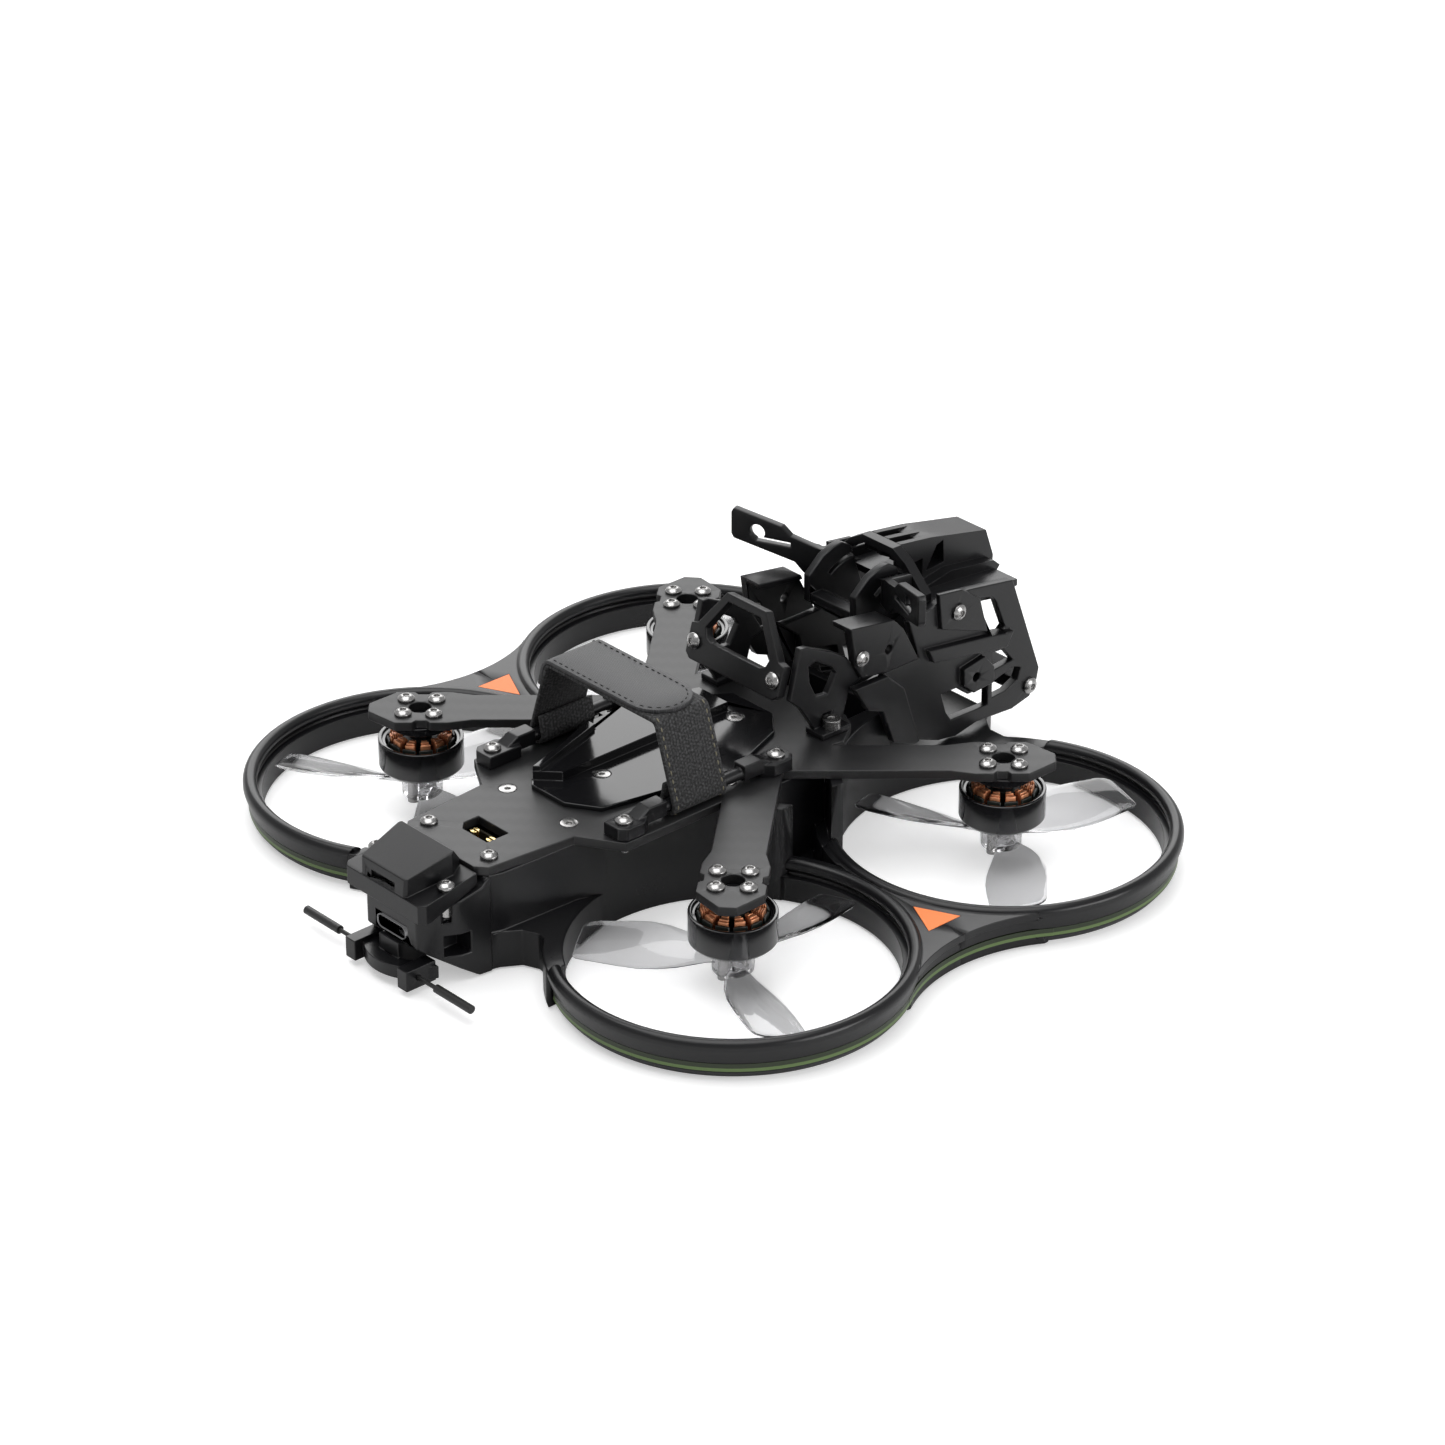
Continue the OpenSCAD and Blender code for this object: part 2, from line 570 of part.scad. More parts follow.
module cage_rail(s) color("dimgray") mirror([0, s < 0 ? 1 : 0, 0]) difference() {
    union() {
        // wedge beside the rear frame
        side_slab(cage_y - 2, cage_t - 0.4) polygon([
            [8.2, 33.2], [10.9, 44.4], [12.6, 44.2], [20.1, 40.6], [24, 38], [28, 31.7], [24.8, 30.8],
            [22.1, 23.2], [16, 23.2], [10.8, 31]]);
        // rail that stands further out, with a ledge along its top
        side_slab(cage_y - 1.2, 2) polygon([
            [23.7, 44.9], [35.9, 43], [38.8, 40], [43.3, 31.5], [34.3, 31.5], [27.2, 32.4], [25, 36]]);
        side_slab(cage_y - 5, 5.8) polygon([[23.7, 44.9], [35.9, 43], [36.4, 41.8], [24, 43.5]]);
        // foot on the plate
        translate([14.4, cage_y - 2.6, plate_top]) cube([8, 5.2, 1.4]);
    }
    side_slab(cage_y - 4, 8) polygon([
        [13.2, 39.6], [13.5, 36], [15.5, 31.9], [18.5, 31.5], [20.9, 35.6], [19.7, 37.3], [15.2, 40.1]]);
    across(26.8, 37.3, cage_y - 4, cage_y + 4, screw_d / 2 + hole_gap / 2);
    across(34.6, 36.6, cage_y - 4, cage_y + 4, 1);
    translate([18.4, 17, plate_top - 1]) cylinder(d = screw_d + hole_gap, h = 4);
    translate([18.4, 17, plate_top + 1.4]) cylinder(d = head_d + 0.8, h = 2.6);
}

module cage_side(s) color("dimgray") mirror([0, s < 0 ? 1 : 0, 0]) difference() {
    union() {
        side_slab(cage_y - cage_t, cage_t) polygon([
            [41, 40.4], [47.3, 41.4], [52, 42.6], [58.4, 42.1], [71.3, 40], [80, 16.4], [79.5, 13.8],
            [77.4, 10.3], [72.1, 9.1], [61.7, 9.8], [55.4, 8.6], [50.3, 9.4], [43, 12.2], [42, 22], [44, 31.2]]);
        // stepped bar and skirt that stand proud of the plate
        side_slab(cage_y - eps, 1.5) polygon([[45.6, 32.6], [47.1, 29.3], [68.7, 25.6], [70.6, 28.9]]);
        side_slab(cage_y - eps, 2) polygon([
            [24, 31.4], [33.5, 31.2], [38.2, 26.8], [42.9, 12.7], [41.6, 12.5], [35.4, 15], [32.1, 23.5], [28, 25.1]]);
        side_slab(cage_y - cage_t, cage_t) polygon([[33, 31], [38, 27], [42.5, 13], [46, 12.4], [46, 31]]);
        side_slab(cage_y - eps, 1.2) polygon([
            [48.4, 44.6], [55.2, 43.6], [60.5, 39.7], [63.1, 31.1], [49.4, 36.2]]);
        // posts that space the two plates
        side_slab(-eps, cage_y) polygon([[74, 15], [78, 16.6], [79.2, 13.6], [77, 10.8], [74, 12]]);
        // hexagonal boss for the camera's side screw
        side_slab(cage_y - 6, 7.4) polygon([[56.1, 24.5], [62.3, 25.6], [65.1, 22.3], [65.2, 18.5], [59.2, 18], [56.2, 20.6]]);
        side_slab(cage_y - cage_t, cage_t) polygon([[51, 21], [58, 21], [58, 23.6], [51, 23.6]]);
        side_slab(cage_y - cage_t, cage_t) polygon([[64, 18.6], [76, 21], [76, 23], [64, 21]]);
        // boss that reaches in to the camera cradle
        across(tilt_x, tilt_z, cheek_y + 0.3, cage_y - 0.4, 2.6);
    }
    across(tilt_x, tilt_z, cheek_y, cage_y - cage_t + 1, screw_d / 2);
    // upper window, its dark slot, and the two lower windows
    side_slab(cage_y - 6, 12) polygon([[61.8, 38.9], [65.2, 38], [66.4, 36.7], [69.2, 29.8], [68.2, 29], [64.2, 29.8]]);
    side_slab(cage_y - 6, 5.99) polygon([[50.5, 34.8], [50, 32.6], [62, 30.4], [62, 33]]);
    side_slab(cage_y - 6, 12) polygon([[66, 24.6], [69.1, 24.4], [72, 20.9], [66, 20.4]]);
    side_slab(cage_y - 6, 12) polygon([[66, 17.6], [66, 14], [70, 14.2], [73.4, 15.6], [74.4, 18.3], [72, 19.2]]);
    side_slab(cage_y - 6, 12) polygon([[51, 20], [52.4, 15.4], [54, 13], [64.6, 12.8], [64.6, 17.4], [58.8, 17.3], [55.4, 20]]);
    // louvres
    for (k = [0:2]) side_slab(cage_y - 6, 5.7)
        polygon([[42.8 + 1.2 * k, 22.4 - 4 * k], [49 + 0.4 * k, 20.8 - 4 * k], [49.6 + 0.4 * k, 18.8 - 4 * k],
                 [43.6 + 1.2 * k, 20.2 - 4 * k]]);
    across(54.1, 38.8, cage_y - 8, cage_y + 8, screw_d / 2 + hole_gap / 2);
    across(77.1, 13.1, cage_y - 8, cage_y + 8, screw_d / 2);
    across(59.8, 21.6, cage_y - 8, cage_y + 8, screw_d / 2);
}

module cage_cap() color("dimgray") difference() {
    union() {
        // block in the middle, with its low front lip
        side_slab(-4.4, 8.8) polygon([[56, 42], [56, 49.6], [58.6, 49.9], [63.5, 48.8], [74.6, 46.4], [76.9, 39.9],
                                      [76.8, 38.1], [56, 40.4]]);
        // fins that run back to the hoop
        for (y = [-4.4, -0.7, 3]) side_slab(y, 1.4)
            polygon([[hoop_x + 0.6, 49.4], [49.6, 51.2], [58.6, 49.9], [58.6, 46], [52, 45.6], [hoop_x + 0.6, 48]]);
        // the low floor of the cap and its shoulders down to the side plates
        side_slab(-7, 14) polygon([[55, 40.8], [62, 42], [74.6, 40.2], [76.4, 38.6], [74.6, 36.6], [68.5, 36.4], [55, 38.6]]);
        side_slab(-cage_y + cage_t, cage_w - 2 * cage_t) polygon([[52, 40.4], [74.6, 38.4], [74.6, 36.9], [68.5, 36], [52, 38.8]]);
        // octagonal hoop over the cradle
        translate([hoop_x, 0, 0]) rotate([90, 0, 90]) linear_extrude(2.4) difference() {
            mirrored_polygon([[4.6, 51.2], [8.4, 49], [13.9, 43.6], [13.9, 38.8], [12.2, 38.8], [12.2, 42.8],
                              [7.6, 47.2], [4, 49.4]]);
        }
        both_sides() side_slab(cage_y - cage_t - 2, 2) polygon([[hoop_x, 42.4], [54, 40.4], [54, 38.6], [hoop_x, 38.8]]);
    }
    // window in the block's side
    side_slab(-5, 10) polygon([[57, 42.6], [62.2, 43], [61.9, 48.2], [60, 47.6]]);
}

module antenna_arms() color("dimgray") both_sides() {
    // a flat arm that leans out and back from the hoop, with a seat for an
    // antenna near its tip and a slit for its lead
    root = [40.5, cheek_y + 1.8, 46.4];
    tip = [32.6, arm_reach, 50.4];
    reach = norm([tip[0] - root[0], tip[1] - root[1]]);
    turn = atan2(tip[1] - root[1], tip[0] - root[0]);
    translate(root) rotate([0, 0, turn]) rotate([90, 0, 0]) translate([0, 0, -0.9]) linear_extrude(1.8) difference() {
        rise = (tip[2] - root[2]) / reach;
        translate([0, -3.5]) polygon([[-1, -1], [4, 0.9 * rise - 1], [6, 6 * rise], [reach, reach * rise], [reach + 0.6, reach * rise + 1],
            [reach + 0.6, reach * rise + 6], [reach, reach * rise + 7], [9, 9 * rise + 7], [7, 7 * rise + 5.6], [-1, 5]]);
        translate([reach - 5.4, (reach - 5.4) * rise]) circle(d = 3.4);
        translate([7, 7 * rise - 0.5]) square([reach - 12, 1]);
    }
    // bracket from the arm's root to the hoop
    side_slab(root[1] - 0.6, 1.6) polygon([[39.4, 48.4], [hoop_x, 47.4], [hoop_x, 44.6], [39.4, 42.6]]);
}

module camera_cradle() color("dimgray") {
    // two cheeks on the tilt axis, each with a curved slot, and the bridge between them
    both_sides() difference() {
        side_slab(cheek_y - cheek_t, cheek_t) polygon([
            [33.4, 39.4], [33.4, 45.4], [37.4, 48.8], [40.4, 50], [42.8, 50.2], [45.4, 48.6], [46.2, 46],
            [49, 38], [49, 33], [46.4, 31.6], [43, 32]]);
        across(tilt_x, tilt_z, 0, 20, screw_d / 2 + pivot_gap);
        side_slab(cheek_y - cheek_t - 1, cheek_t + 2) translate([tilt_x, tilt_z]) difference() {
            circle(r = slot_r + 0.5);
            circle(r = slot_r - 0.5);
            polygon([[0, 0], 30 * [cos(slot_to), sin(slot_to)], [-60, 0], [0, -60], [60, 0], [0, 60],
                     30 * [cos(slot_from), sin(slot_from)]]);
        }
    }
    side_slab(-cheek_y + cheek_t - eps, cradle_w - 2 * cheek_t + 2 * eps)
        polygon([[34, 39.4], [34, 41.2], [37, 41.2], [47, 34], [47, 32.2], [43.4, 32.2]]);
}

// ---- fasteners -----------------------------------------------------------

module side_screw(x, z, y, len) both_sides() translate([x, y, z]) rotate([-90, 0, 0]) button_screw(len);

module tilt_pins() color("silver") both_sides()
    across(tilt_x, tilt_z, cheek_y - cheek_t + 0.1, cage_y - cage_t + 1, screw_d / 2);

module cage_screws() color("silver") {
    side_screw(26.8, 37.3, cage_y + 0.8, 2);
    side_screw(54.1, 38.8, cage_y + 1.2, 3.2);
    side_screw(77.1, 13.1, cage_y, 6);
    both_sides() translate([5.6, 0, 33.4]) rotate([0, 16, 0]) translate([0, 11.9, 4.1])
        rotate([0, -90, 0]) button_screw(2.2);
}

module plate_screws() color("silver") {
    for (p = plate_points) if (p[0] > -60) translate([p[0], p[1], plate_top]) countersunk_screw(5);
    for (p = stack_points) {
        beside = abs(p[1]) > 1;
        translate([p[0], p[1], plate_top + (beside ? 0 : tray_t)]) countersunk_screw(beside ? 5 : 6);
    }
}

module bar_screws() color("silver") {
    for (p = bar_points) translate([p[0], p[1], plate_top + bar_foot - 0.4]) button_screw(6.6);
    for (s = [-1, 1]) translate([-66.2, s * 9.3, plate_top]) button_screw(6);
    for (s = [-1, 1]) translate([-78.3, s * 10.6, 21.6]) button_screw(6.4);
}

module motor_screws() color("silver") for (p = motor_hole_points)
    translate([p[0], p[1], plate_top]) button_screw(3.4);

module cap_screws() color("silver") for (p = cap_points) translate([p[0], p[1], plate_top + 1.4]) {
    difference() {
        cylinder(d = head_d + 0.2, h = 2);
        translate([0, 0, 0.9]) cylinder(r = 0.9, h = 2, $fn = 6);
    }
    translate([0, 0, -4]) cylinder(d = screw_d, h = 4);
}

// ---- motors and propellers -----------------------------------------------

module motor_mount(q) color("dimgray") at_quad(q) difference() {
    union() {
        translate([0, 0, plate_z - base_t]) cylinder(r = base_r, h = base_t);
        translate([0, 0, bell_z + 1.9]) cylinder(r = tube_r, h = plate_z - bell_z - 1.9);
    }
    translate([0, 0, bell_z]) cylinder(d = shaft_d + 2 * shaft_gap, h = plate_z);
    screw_holes([for (k = [0:3]) [motor_pcd / 2 * cos(90 * k), motor_pcd / 2 * sin(90 * k)]],
        plate_z - base_t - 1, plate_z + 1, screw_d);
}

module stator(q) color("peru") at_quad(q) difference() {
    union() {
        translate([0, 0, stator_z]) cylinder(d = stator_d, h = stator_h);
        // windings stand above and below the laminated core
        translate([0, 0, stator_z - 0.2]) cylinder(d = stator_d - 1.6, h = stator_h + 2);
    }
    translate([0, 0, stator_z - 1]) cylinder(r = tube_r, h = stator_h + 4);
    for (k = [0:11]) rotate(30 * k) translate([tube_r + 1.4, -0.45, stator_z - 1]) cube([stator_d, 0.9, stator_h + 4]);
}

module bell(q) color("black") at_quad(q) difference() {
    translate([0, 0, bell_z]) rotate_extrude() polygon([
        [0, 0], [bell_d / 2 - 0.9, 0], [bell_d / 2, 0.9], [bell_d / 2, bell_h],
        [bell_d / 2 - bell_wall, bell_h], [bell_d / 2 - bell_wall, bell_h - 0.6],
        [stator_d / 2 + magnet_gap, bell_h - 0.6], [stator_d / 2 + magnet_gap, 1.8],
        [stator_d / 2 - 0.4, 1.4], [0, 1.4]]);
    translate([0, 0, bell_z - 1]) cylinder(d = shaft_d, h = bell_h);
    for (s = [-1, 1]) translate([2.5 * s, 0, bell_z - 1]) cylinder(d = screw_d, h = bell_h);
}

module shaft(q) color("silver") at_quad(q)
    translate([0, 0, hub_z + 0.6]) cylinder(d = shaft_d, h = plate_z - 0.8 - hub_z);

module blade() {
    intersection() {
        translate([0, 0, hub_h * 0.42]) rotate([blade_pitch, 0, 0]) translate([0, 0, -blade_t / 2])
            linear_extrude(blade_t) polygon([
                [hub_d / 2 - 1.4, -2], [9, -blade_w * 0.4], [16, -blade_w / 2], [24, -blade_w * 0.46],
                [prop_d / 2 - 0.6, -blade_w * 0.2], [prop_d / 2 - 0.4, blade_w * 0.12], [26, blade_w * 0.44],
                [18, blade_w / 2], [9, blade_w * 0.36], [hub_d / 2 - 1.4, 2]]);
        cylinder(d = prop_d, h = 20, center = true);
    }
}

module propeller(q) color("whitesmoke") at_quad(q) translate([0, 0, hub_z]) difference() {
    union() {
        cylinder(d = hub_d, h = hub_h);
        for (k = [0:2]) rotate(120 * k + q[3]) mirror([0, q[1] * q[2] > 0 ? 1 : 0, 0]) blade();
    }
    translate([0, 0, -1]) cylinder(d = shaft_d, h = hub_h + 2);
    for (s = [-1, 1]) translate([2.5 * s, 0, -1]) cylinder(d = screw_d, h = hub_h + 2);
}

module prop_screws(q) color("silver") at_quad(q) for (s = [-1, 1])
    translate([2.5 * s, 0, hub_z]) mirror([0, 0, 1]) {
        cylinder(d = 2.4, h = 1);
        translate([0, 0, -hub_h - 1.2]) cylinder(d = screw_d, h = hub_h + 1.2);
    }

// ---- every node ----------------------------------------------------------

fuselage();
side_inserts();
led_strips();
top_plate();
battery_tray();
strap_bars();
battery_strap();
rear_cover();
power_socket();
power_pins();
usb_port();
flight_controller();
standoffs();
capacitor();
antenna();
antenna_mount();
cage_rear_frame();
cage_rail(1);  // cage_rail_left
cage_rail(-1);  // cage_rail_right
cage_side(1);  // cage_side_left
cage_side(-1);  // cage_side_right
cage_cap();
antenna_arms();
camera_cradle();
tilt_pins();
cage_screws();
plate_screws();
bar_screws();
motor_screws();
cap_screws();
for (q = QUADS) {
    duct(q);
    motor_mount(q);
    stator(q);
    bell(q);
    shaft(q);
    propeller(q);
    prop_screws(q);
}
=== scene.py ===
import json
import math

import bmesh
import bpy
from bpy.props import FloatProperty, FloatVectorProperty, PointerProperty
from mathutils import Matrix, Vector

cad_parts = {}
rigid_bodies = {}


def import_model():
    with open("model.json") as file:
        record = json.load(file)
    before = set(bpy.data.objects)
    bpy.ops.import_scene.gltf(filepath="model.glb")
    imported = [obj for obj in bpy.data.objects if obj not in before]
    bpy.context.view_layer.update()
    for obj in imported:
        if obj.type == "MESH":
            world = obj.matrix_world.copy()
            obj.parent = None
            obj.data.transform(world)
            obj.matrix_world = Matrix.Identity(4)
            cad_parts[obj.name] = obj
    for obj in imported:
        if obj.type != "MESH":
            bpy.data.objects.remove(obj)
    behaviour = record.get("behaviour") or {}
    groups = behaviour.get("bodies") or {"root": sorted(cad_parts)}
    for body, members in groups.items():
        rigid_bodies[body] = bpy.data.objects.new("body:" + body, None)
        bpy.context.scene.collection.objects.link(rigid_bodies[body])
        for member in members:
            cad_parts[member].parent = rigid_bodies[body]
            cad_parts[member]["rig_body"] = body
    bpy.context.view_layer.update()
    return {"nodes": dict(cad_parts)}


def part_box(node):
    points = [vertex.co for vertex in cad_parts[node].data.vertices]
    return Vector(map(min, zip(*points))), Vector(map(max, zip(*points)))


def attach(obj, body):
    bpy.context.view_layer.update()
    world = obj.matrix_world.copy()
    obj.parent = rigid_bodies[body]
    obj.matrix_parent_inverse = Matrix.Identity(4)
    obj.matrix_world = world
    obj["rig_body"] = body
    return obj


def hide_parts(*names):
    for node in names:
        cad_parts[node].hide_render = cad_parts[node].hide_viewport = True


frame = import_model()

bl_info = {
    "name": "Ducted racing drone",
    "version": (1, 0, 0),
    "blender": (4, 5, 0),
    "location": "3D View > Sidebar > Drone",
    "description": "Builds the visible pieces of a ducted racing drone on its frame",
    "category": "Object",
}

MM = 0.001
CORNERS = ("front_left", "front_right", "rear_left", "rear_right")
FIRST_BLADE = {"front_left": 31, "front_right": -7, "rear_left": 2, "rear_right": 4}
SEAM_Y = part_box("duct_front_left")[0].y


# ---- sizes and colours ----------------------------------------------------


def length(name, text, default):
    return FloatProperty(name=name, description=text, default=default, subtype="DISTANCE", unit="LENGTH")


def colour(name, text, default):
    return FloatVectorProperty(name=name, description=text, default=default, size=3, min=0, max=1, subtype="COLOR")


class DroneSizes(bpy.types.PropertyGroup):
    edge: length("Edge rounding", "Radius of the small edges of moulded parts", 0.00028)
    body_edge: length("Body rounding", "Radius of the edges of the moulded body", 0.0007)
    blade_width: length("Blade width", "Widest chord of a propeller blade", 0.0128)
    blade_thickness: length("Blade thickness", "Thickness of a blade at its root", 0.0014)
    wire: length("Winding step", "Distance between two turns of a motor winding", 0.00044)
    strap_width: length("Strap width", "Width of the battery strap's webbing", 0.0140)
    strap_thickness: length("Strap thickness", "Thickness of the battery strap's webbing", 0.0009)
    tongue_thickness: length("Tongue thickness", "Thickness of the coated tongue on the strap", 0.0008)
    stitch: length("Stitch length", "Length of one stitch of the strap", 0.0011)
    stitch_pitch: length("Stitch spacing", "Distance from one stitch to the next", 0.0018)
    floor: length("Floor size", "Width of the pale floor", 8.0)


class DroneColours(bpy.types.PropertyGroup):
    moulding: colour("Moulding", "Black of the moulded frame", (0.0060, 0.0060, 0.0068))
    cage: colour("Cage", "Black of the camera cage", (0.0055, 0.0055, 0.0062))
    plate: colour("Plate", "Black of the carbon plate", (0.0080, 0.0080, 0.0086))
    anodised: colour("Anodised", "Black of the motor bells", (0.006, 0.006, 0.007))
    copper: colour("Copper", "Enamelled copper of the windings", (0.66, 0.27, 0.13))
    brass: colour("Brass", "Gold flash on the power pins", (0.86, 0.66, 0.30))
    steel: colour("Steel", "Stainless steel of the screws", (0.40, 0.395, 0.39))
    orange: colour("Orange", "Orange of the side inserts", (0.90, 0.22, 0.05))
    light_strip: colour("Light strip", "Milky cover of the light strips", (0.075, 0.125, 0.035))
    webbing: colour("Webbing", "Black of the strap's loop side", (0.004, 0.004, 0.004))
    tongue: colour("Tongue", "Grey of the strap's coated tongue", (0.026, 0.026, 0.028))
    thread: colour("Thread", "Grey of the strap's stitches", (0.15, 0.135, 0.09))
    clear: colour("Clear", "Tint of the clear propellers", (0.97, 0.97, 0.98))
    floor: colour("Floor", "Pale floor", (0.78, 0.78, 0.78))


def sizes():
    return bpy.context.scene.drone_sizes


def colours():
    return bpy.context.scene.drone_colours


# ---- shader groups ---------------------------------------------------------


def new_group(name, inputs, outputs):
    group = bpy.data.node_groups.new(name, "ShaderNodeTree")
    for label, kind, default in inputs:
        socket = group.interface.new_socket(label, in_out="INPUT", socket_type=kind)
        socket.default_value = default
    for label, kind in outputs:
        group.interface.new_socket(label, in_out="OUTPUT", socket_type=kind)
    return group, group.nodes.new("NodeGroupInput"), group.nodes.new("NodeGroupOutput")


def math_node(tree, operation, a, b=None):
    node = tree.nodes.new("ShaderNodeMath")
    node.operation = operation
    for k, value in enumerate((a, b)):
        if value is None:
            continue
        if isinstance(value, (int, float)):
            node.inputs[k].default_value = value
        else:
            tree.links.new(value, node.inputs[k])
    return node.outputs[0]


def mix_colours(tree, factor, a, b):
    node = tree.nodes.new("ShaderNodeMix")
    node.data_type = "RGBA"
    tree.links.new(factor, node.inputs[0])
    for k, value in ((6, a), (7, b)):
        if isinstance(value, tuple):
            node.inputs[k].default_value = value
        else:
            tree.links.new(value, node.inputs[k])
    return node.outputs[2]


def between(tree, factor, low, high):
    node = tree.nodes.new("ShaderNodeMapRange")
    tree.links.new(factor, node.inputs["Value"])
    for label, value in (("To Min", low), ("To Max", high)):
        if isinstance(value, (int, float)):
            node.inputs[label].default_value = value
        else:
            tree.links.new(value, node.inputs[label])
    return node.outputs[0]


def noise(tree, vector, scale, detail=3.0):
    node = tree.nodes.new("ShaderNodeTexNoise")
    node.inputs["Detail"].default_value = detail
    if isinstance(scale, (int, float)):
        node.inputs["Scale"].default_value = scale
    else:
        tree.links.new(scale, node.inputs["Scale"])
    tree.links.new(vector, node.inputs["Vector"])
    return node.outputs[0]


def grain_group():
    """Fine grain with slow changes of tone, for moulded, cast and coated surfaces."""
    if "fine_grain" in bpy.data.node_groups:
        return bpy.data.node_groups["fine_grain"]
    group, into, out = new_group(
        "fine_grain",
        [
            ("Dark", "NodeSocketColor", (0.02, 0.02, 0.02, 1)),
            ("Light", "NodeSocketColor", (0.03, 0.03, 0.03, 1)),
            ("Scale", "NodeSocketFloat", 4000.0),
            ("Rough Low", "NodeSocketFloat", 0.3),
            ("Rough High", "NodeSocketFloat", 0.4),
        ],
        [("Colour", "NodeSocketColor"), ("Roughness", "NodeSocketFloat"), ("Height", "NodeSocketFloat")],
    )
    place = group.nodes.new("ShaderNodeTexCoord").outputs["Object"]
    slow = noise(group, place, 45.0)
    fine = noise(group, place, into.outputs["Scale"], 5.0)
    blend = math_node(group, "ADD", math_node(group, "MULTIPLY", slow, 0.6), math_node(group, "MULTIPLY", fine, 0.4))
    group.links.new(mix_colours(group, blend, into.outputs["Dark"], into.outputs["Light"]), out.inputs["Colour"])
    group.links.new(between(group, blend, into.outputs["Rough Low"], into.outputs["Rough High"]), out.inputs["Roughness"])
    group.links.new(fine, out.inputs["Height"])
    return group


def twill_group():
    """Two-over-two twill cells of a laminate on the XY plane."""
    if "twill" in bpy.data.node_groups:
        return bpy.data.node_groups["twill"]
    group, into, out = new_group(
        "twill", [("Cells", "NodeSocketFloat", 900.0)], [("Mask", "NodeSocketFloat"), ("Height", "NodeSocketFloat")]
    )
    place = group.nodes.new("ShaderNodeTexCoord").outputs["Object"]
    split = group.nodes.new("ShaderNodeSeparateXYZ")
    group.links.new(place, split.inputs[0])
    u = math_node(group, "MULTIPLY", split.outputs[0], into.outputs["Cells"])
    v = math_node(group, "MULTIPLY", split.outputs[1], into.outputs["Cells"])
    whole = math_node(group, "ADD", math_node(group, "FLOOR", u), math_node(group, "FLOOR", v))
    quarter = math_node(group, "FLOORED_MODULO", whole, 4.0)
    mask = math_node(group, "LESS_THAN", quarter, 1.5)
    wave_u = math_node(group, "ABSOLUTE", math_node(group, "SINE", math_node(group, "MULTIPLY", u, math.pi)))
    wave_v = math_node(group, "ABSOLUTE", math_node(group, "SINE", math_node(group, "MULTIPLY", v, math.pi)))
    over = math_node(group, "MULTIPLY", mask, wave_u)
    under = math_node(group, "MULTIPLY", math_node(group, "SUBTRACT", 1.0, mask), wave_v)
    group.links.new(mask, out.inputs["Mask"])
    group.links.new(math_node(group, "ADD", over, under), out.inputs["Height"])
    return group


def webbing_group():
    """Threads that cross along the piece's own UV map, in metres, with a fuzz over them."""
    if "webbing" in bpy.data.node_groups:
        return bpy.data.node_groups["webbing"]
    group, into, out = new_group(
        "webbing",
        [("Threads", "NodeSocketFloat", 1500.0), ("Fuzz", "NodeSocketFloat", 0.5)],
        [("Mask", "NodeSocketFloat"), ("Height", "NodeSocketFloat")],
    )
    place = group.nodes.new("ShaderNodeTexCoord").outputs["UV"]
    split = group.nodes.new("ShaderNodeSeparateXYZ")
    group.links.new(place, split.inputs[0])
    u = math_node(group, "MULTIPLY", split.outputs[0], into.outputs["Threads"])
    v = math_node(group, "MULTIPLY", split.outputs[1], into.outputs["Threads"])
    step = math_node(group, "MULTIPLY", math_node(group, "FLOORED_MODULO", math_node(group, "FLOOR", u), 2.0), 0.5)
    rib = math_node(group, "ABSOLUTE", math_node(group, "SINE", math_node(group, "MULTIPLY", u, math.pi)))
    cross = math_node(
        group, "ABSOLUTE", math_node(group, "SINE", math_node(group, "MULTIPLY", math_node(group, "ADD", v, step), math.pi))
    )
    weave = math_node(group, "MULTIPLY", rib, cross)
    fuzz = noise(group, place, 1900.0, 6.0)
    keep = math_node(group, "SUBTRACT", 1.0, into.outputs["Fuzz"])
    total = math_node(
        group, "ADD", math_node(group, "MULTIPLY", weave, keep), math_node(group, "MULTIPLY", fuzz, into.outputs["Fuzz"])
    )
    group.links.new(total, out.inputs["Height"])
    curve = group.nodes.new("ShaderNodeMapRange")
    group.links.new(total, curve.inputs["Value"])
    curve.inputs["From Min"].default_value = 0.42
    curve.inputs["From Max"].default_value = 0.66
    group.links.new(curve.outputs[0], out.inputs["Mask"])
    return group


# ---- materials -------------------------------------------------------------


def rgba(c, gain=1.0):
    return (min(c[0] * gain, 1), min(c[1] * gain, 1), min(c[2] * gain, 1), 1)


def blank(name):
    material = bpy.data.materials.new(name)
    material.use_nodes = True
    return material, material.node_tree, material.node_tree.nodes["Principled BSDF"]


def bump(tree, shader, height, distance, strength=1.0):
    node = tree.nodes.new("ShaderNodeBump")
    node.inputs["Distance"].default_value = distance
    node.inputs["Strength"].default_value = strength
    tree.links.new(height, node.inputs["Height"])
    tree.links.new(node.outputs["Normal"], shader.inputs["Normal"])


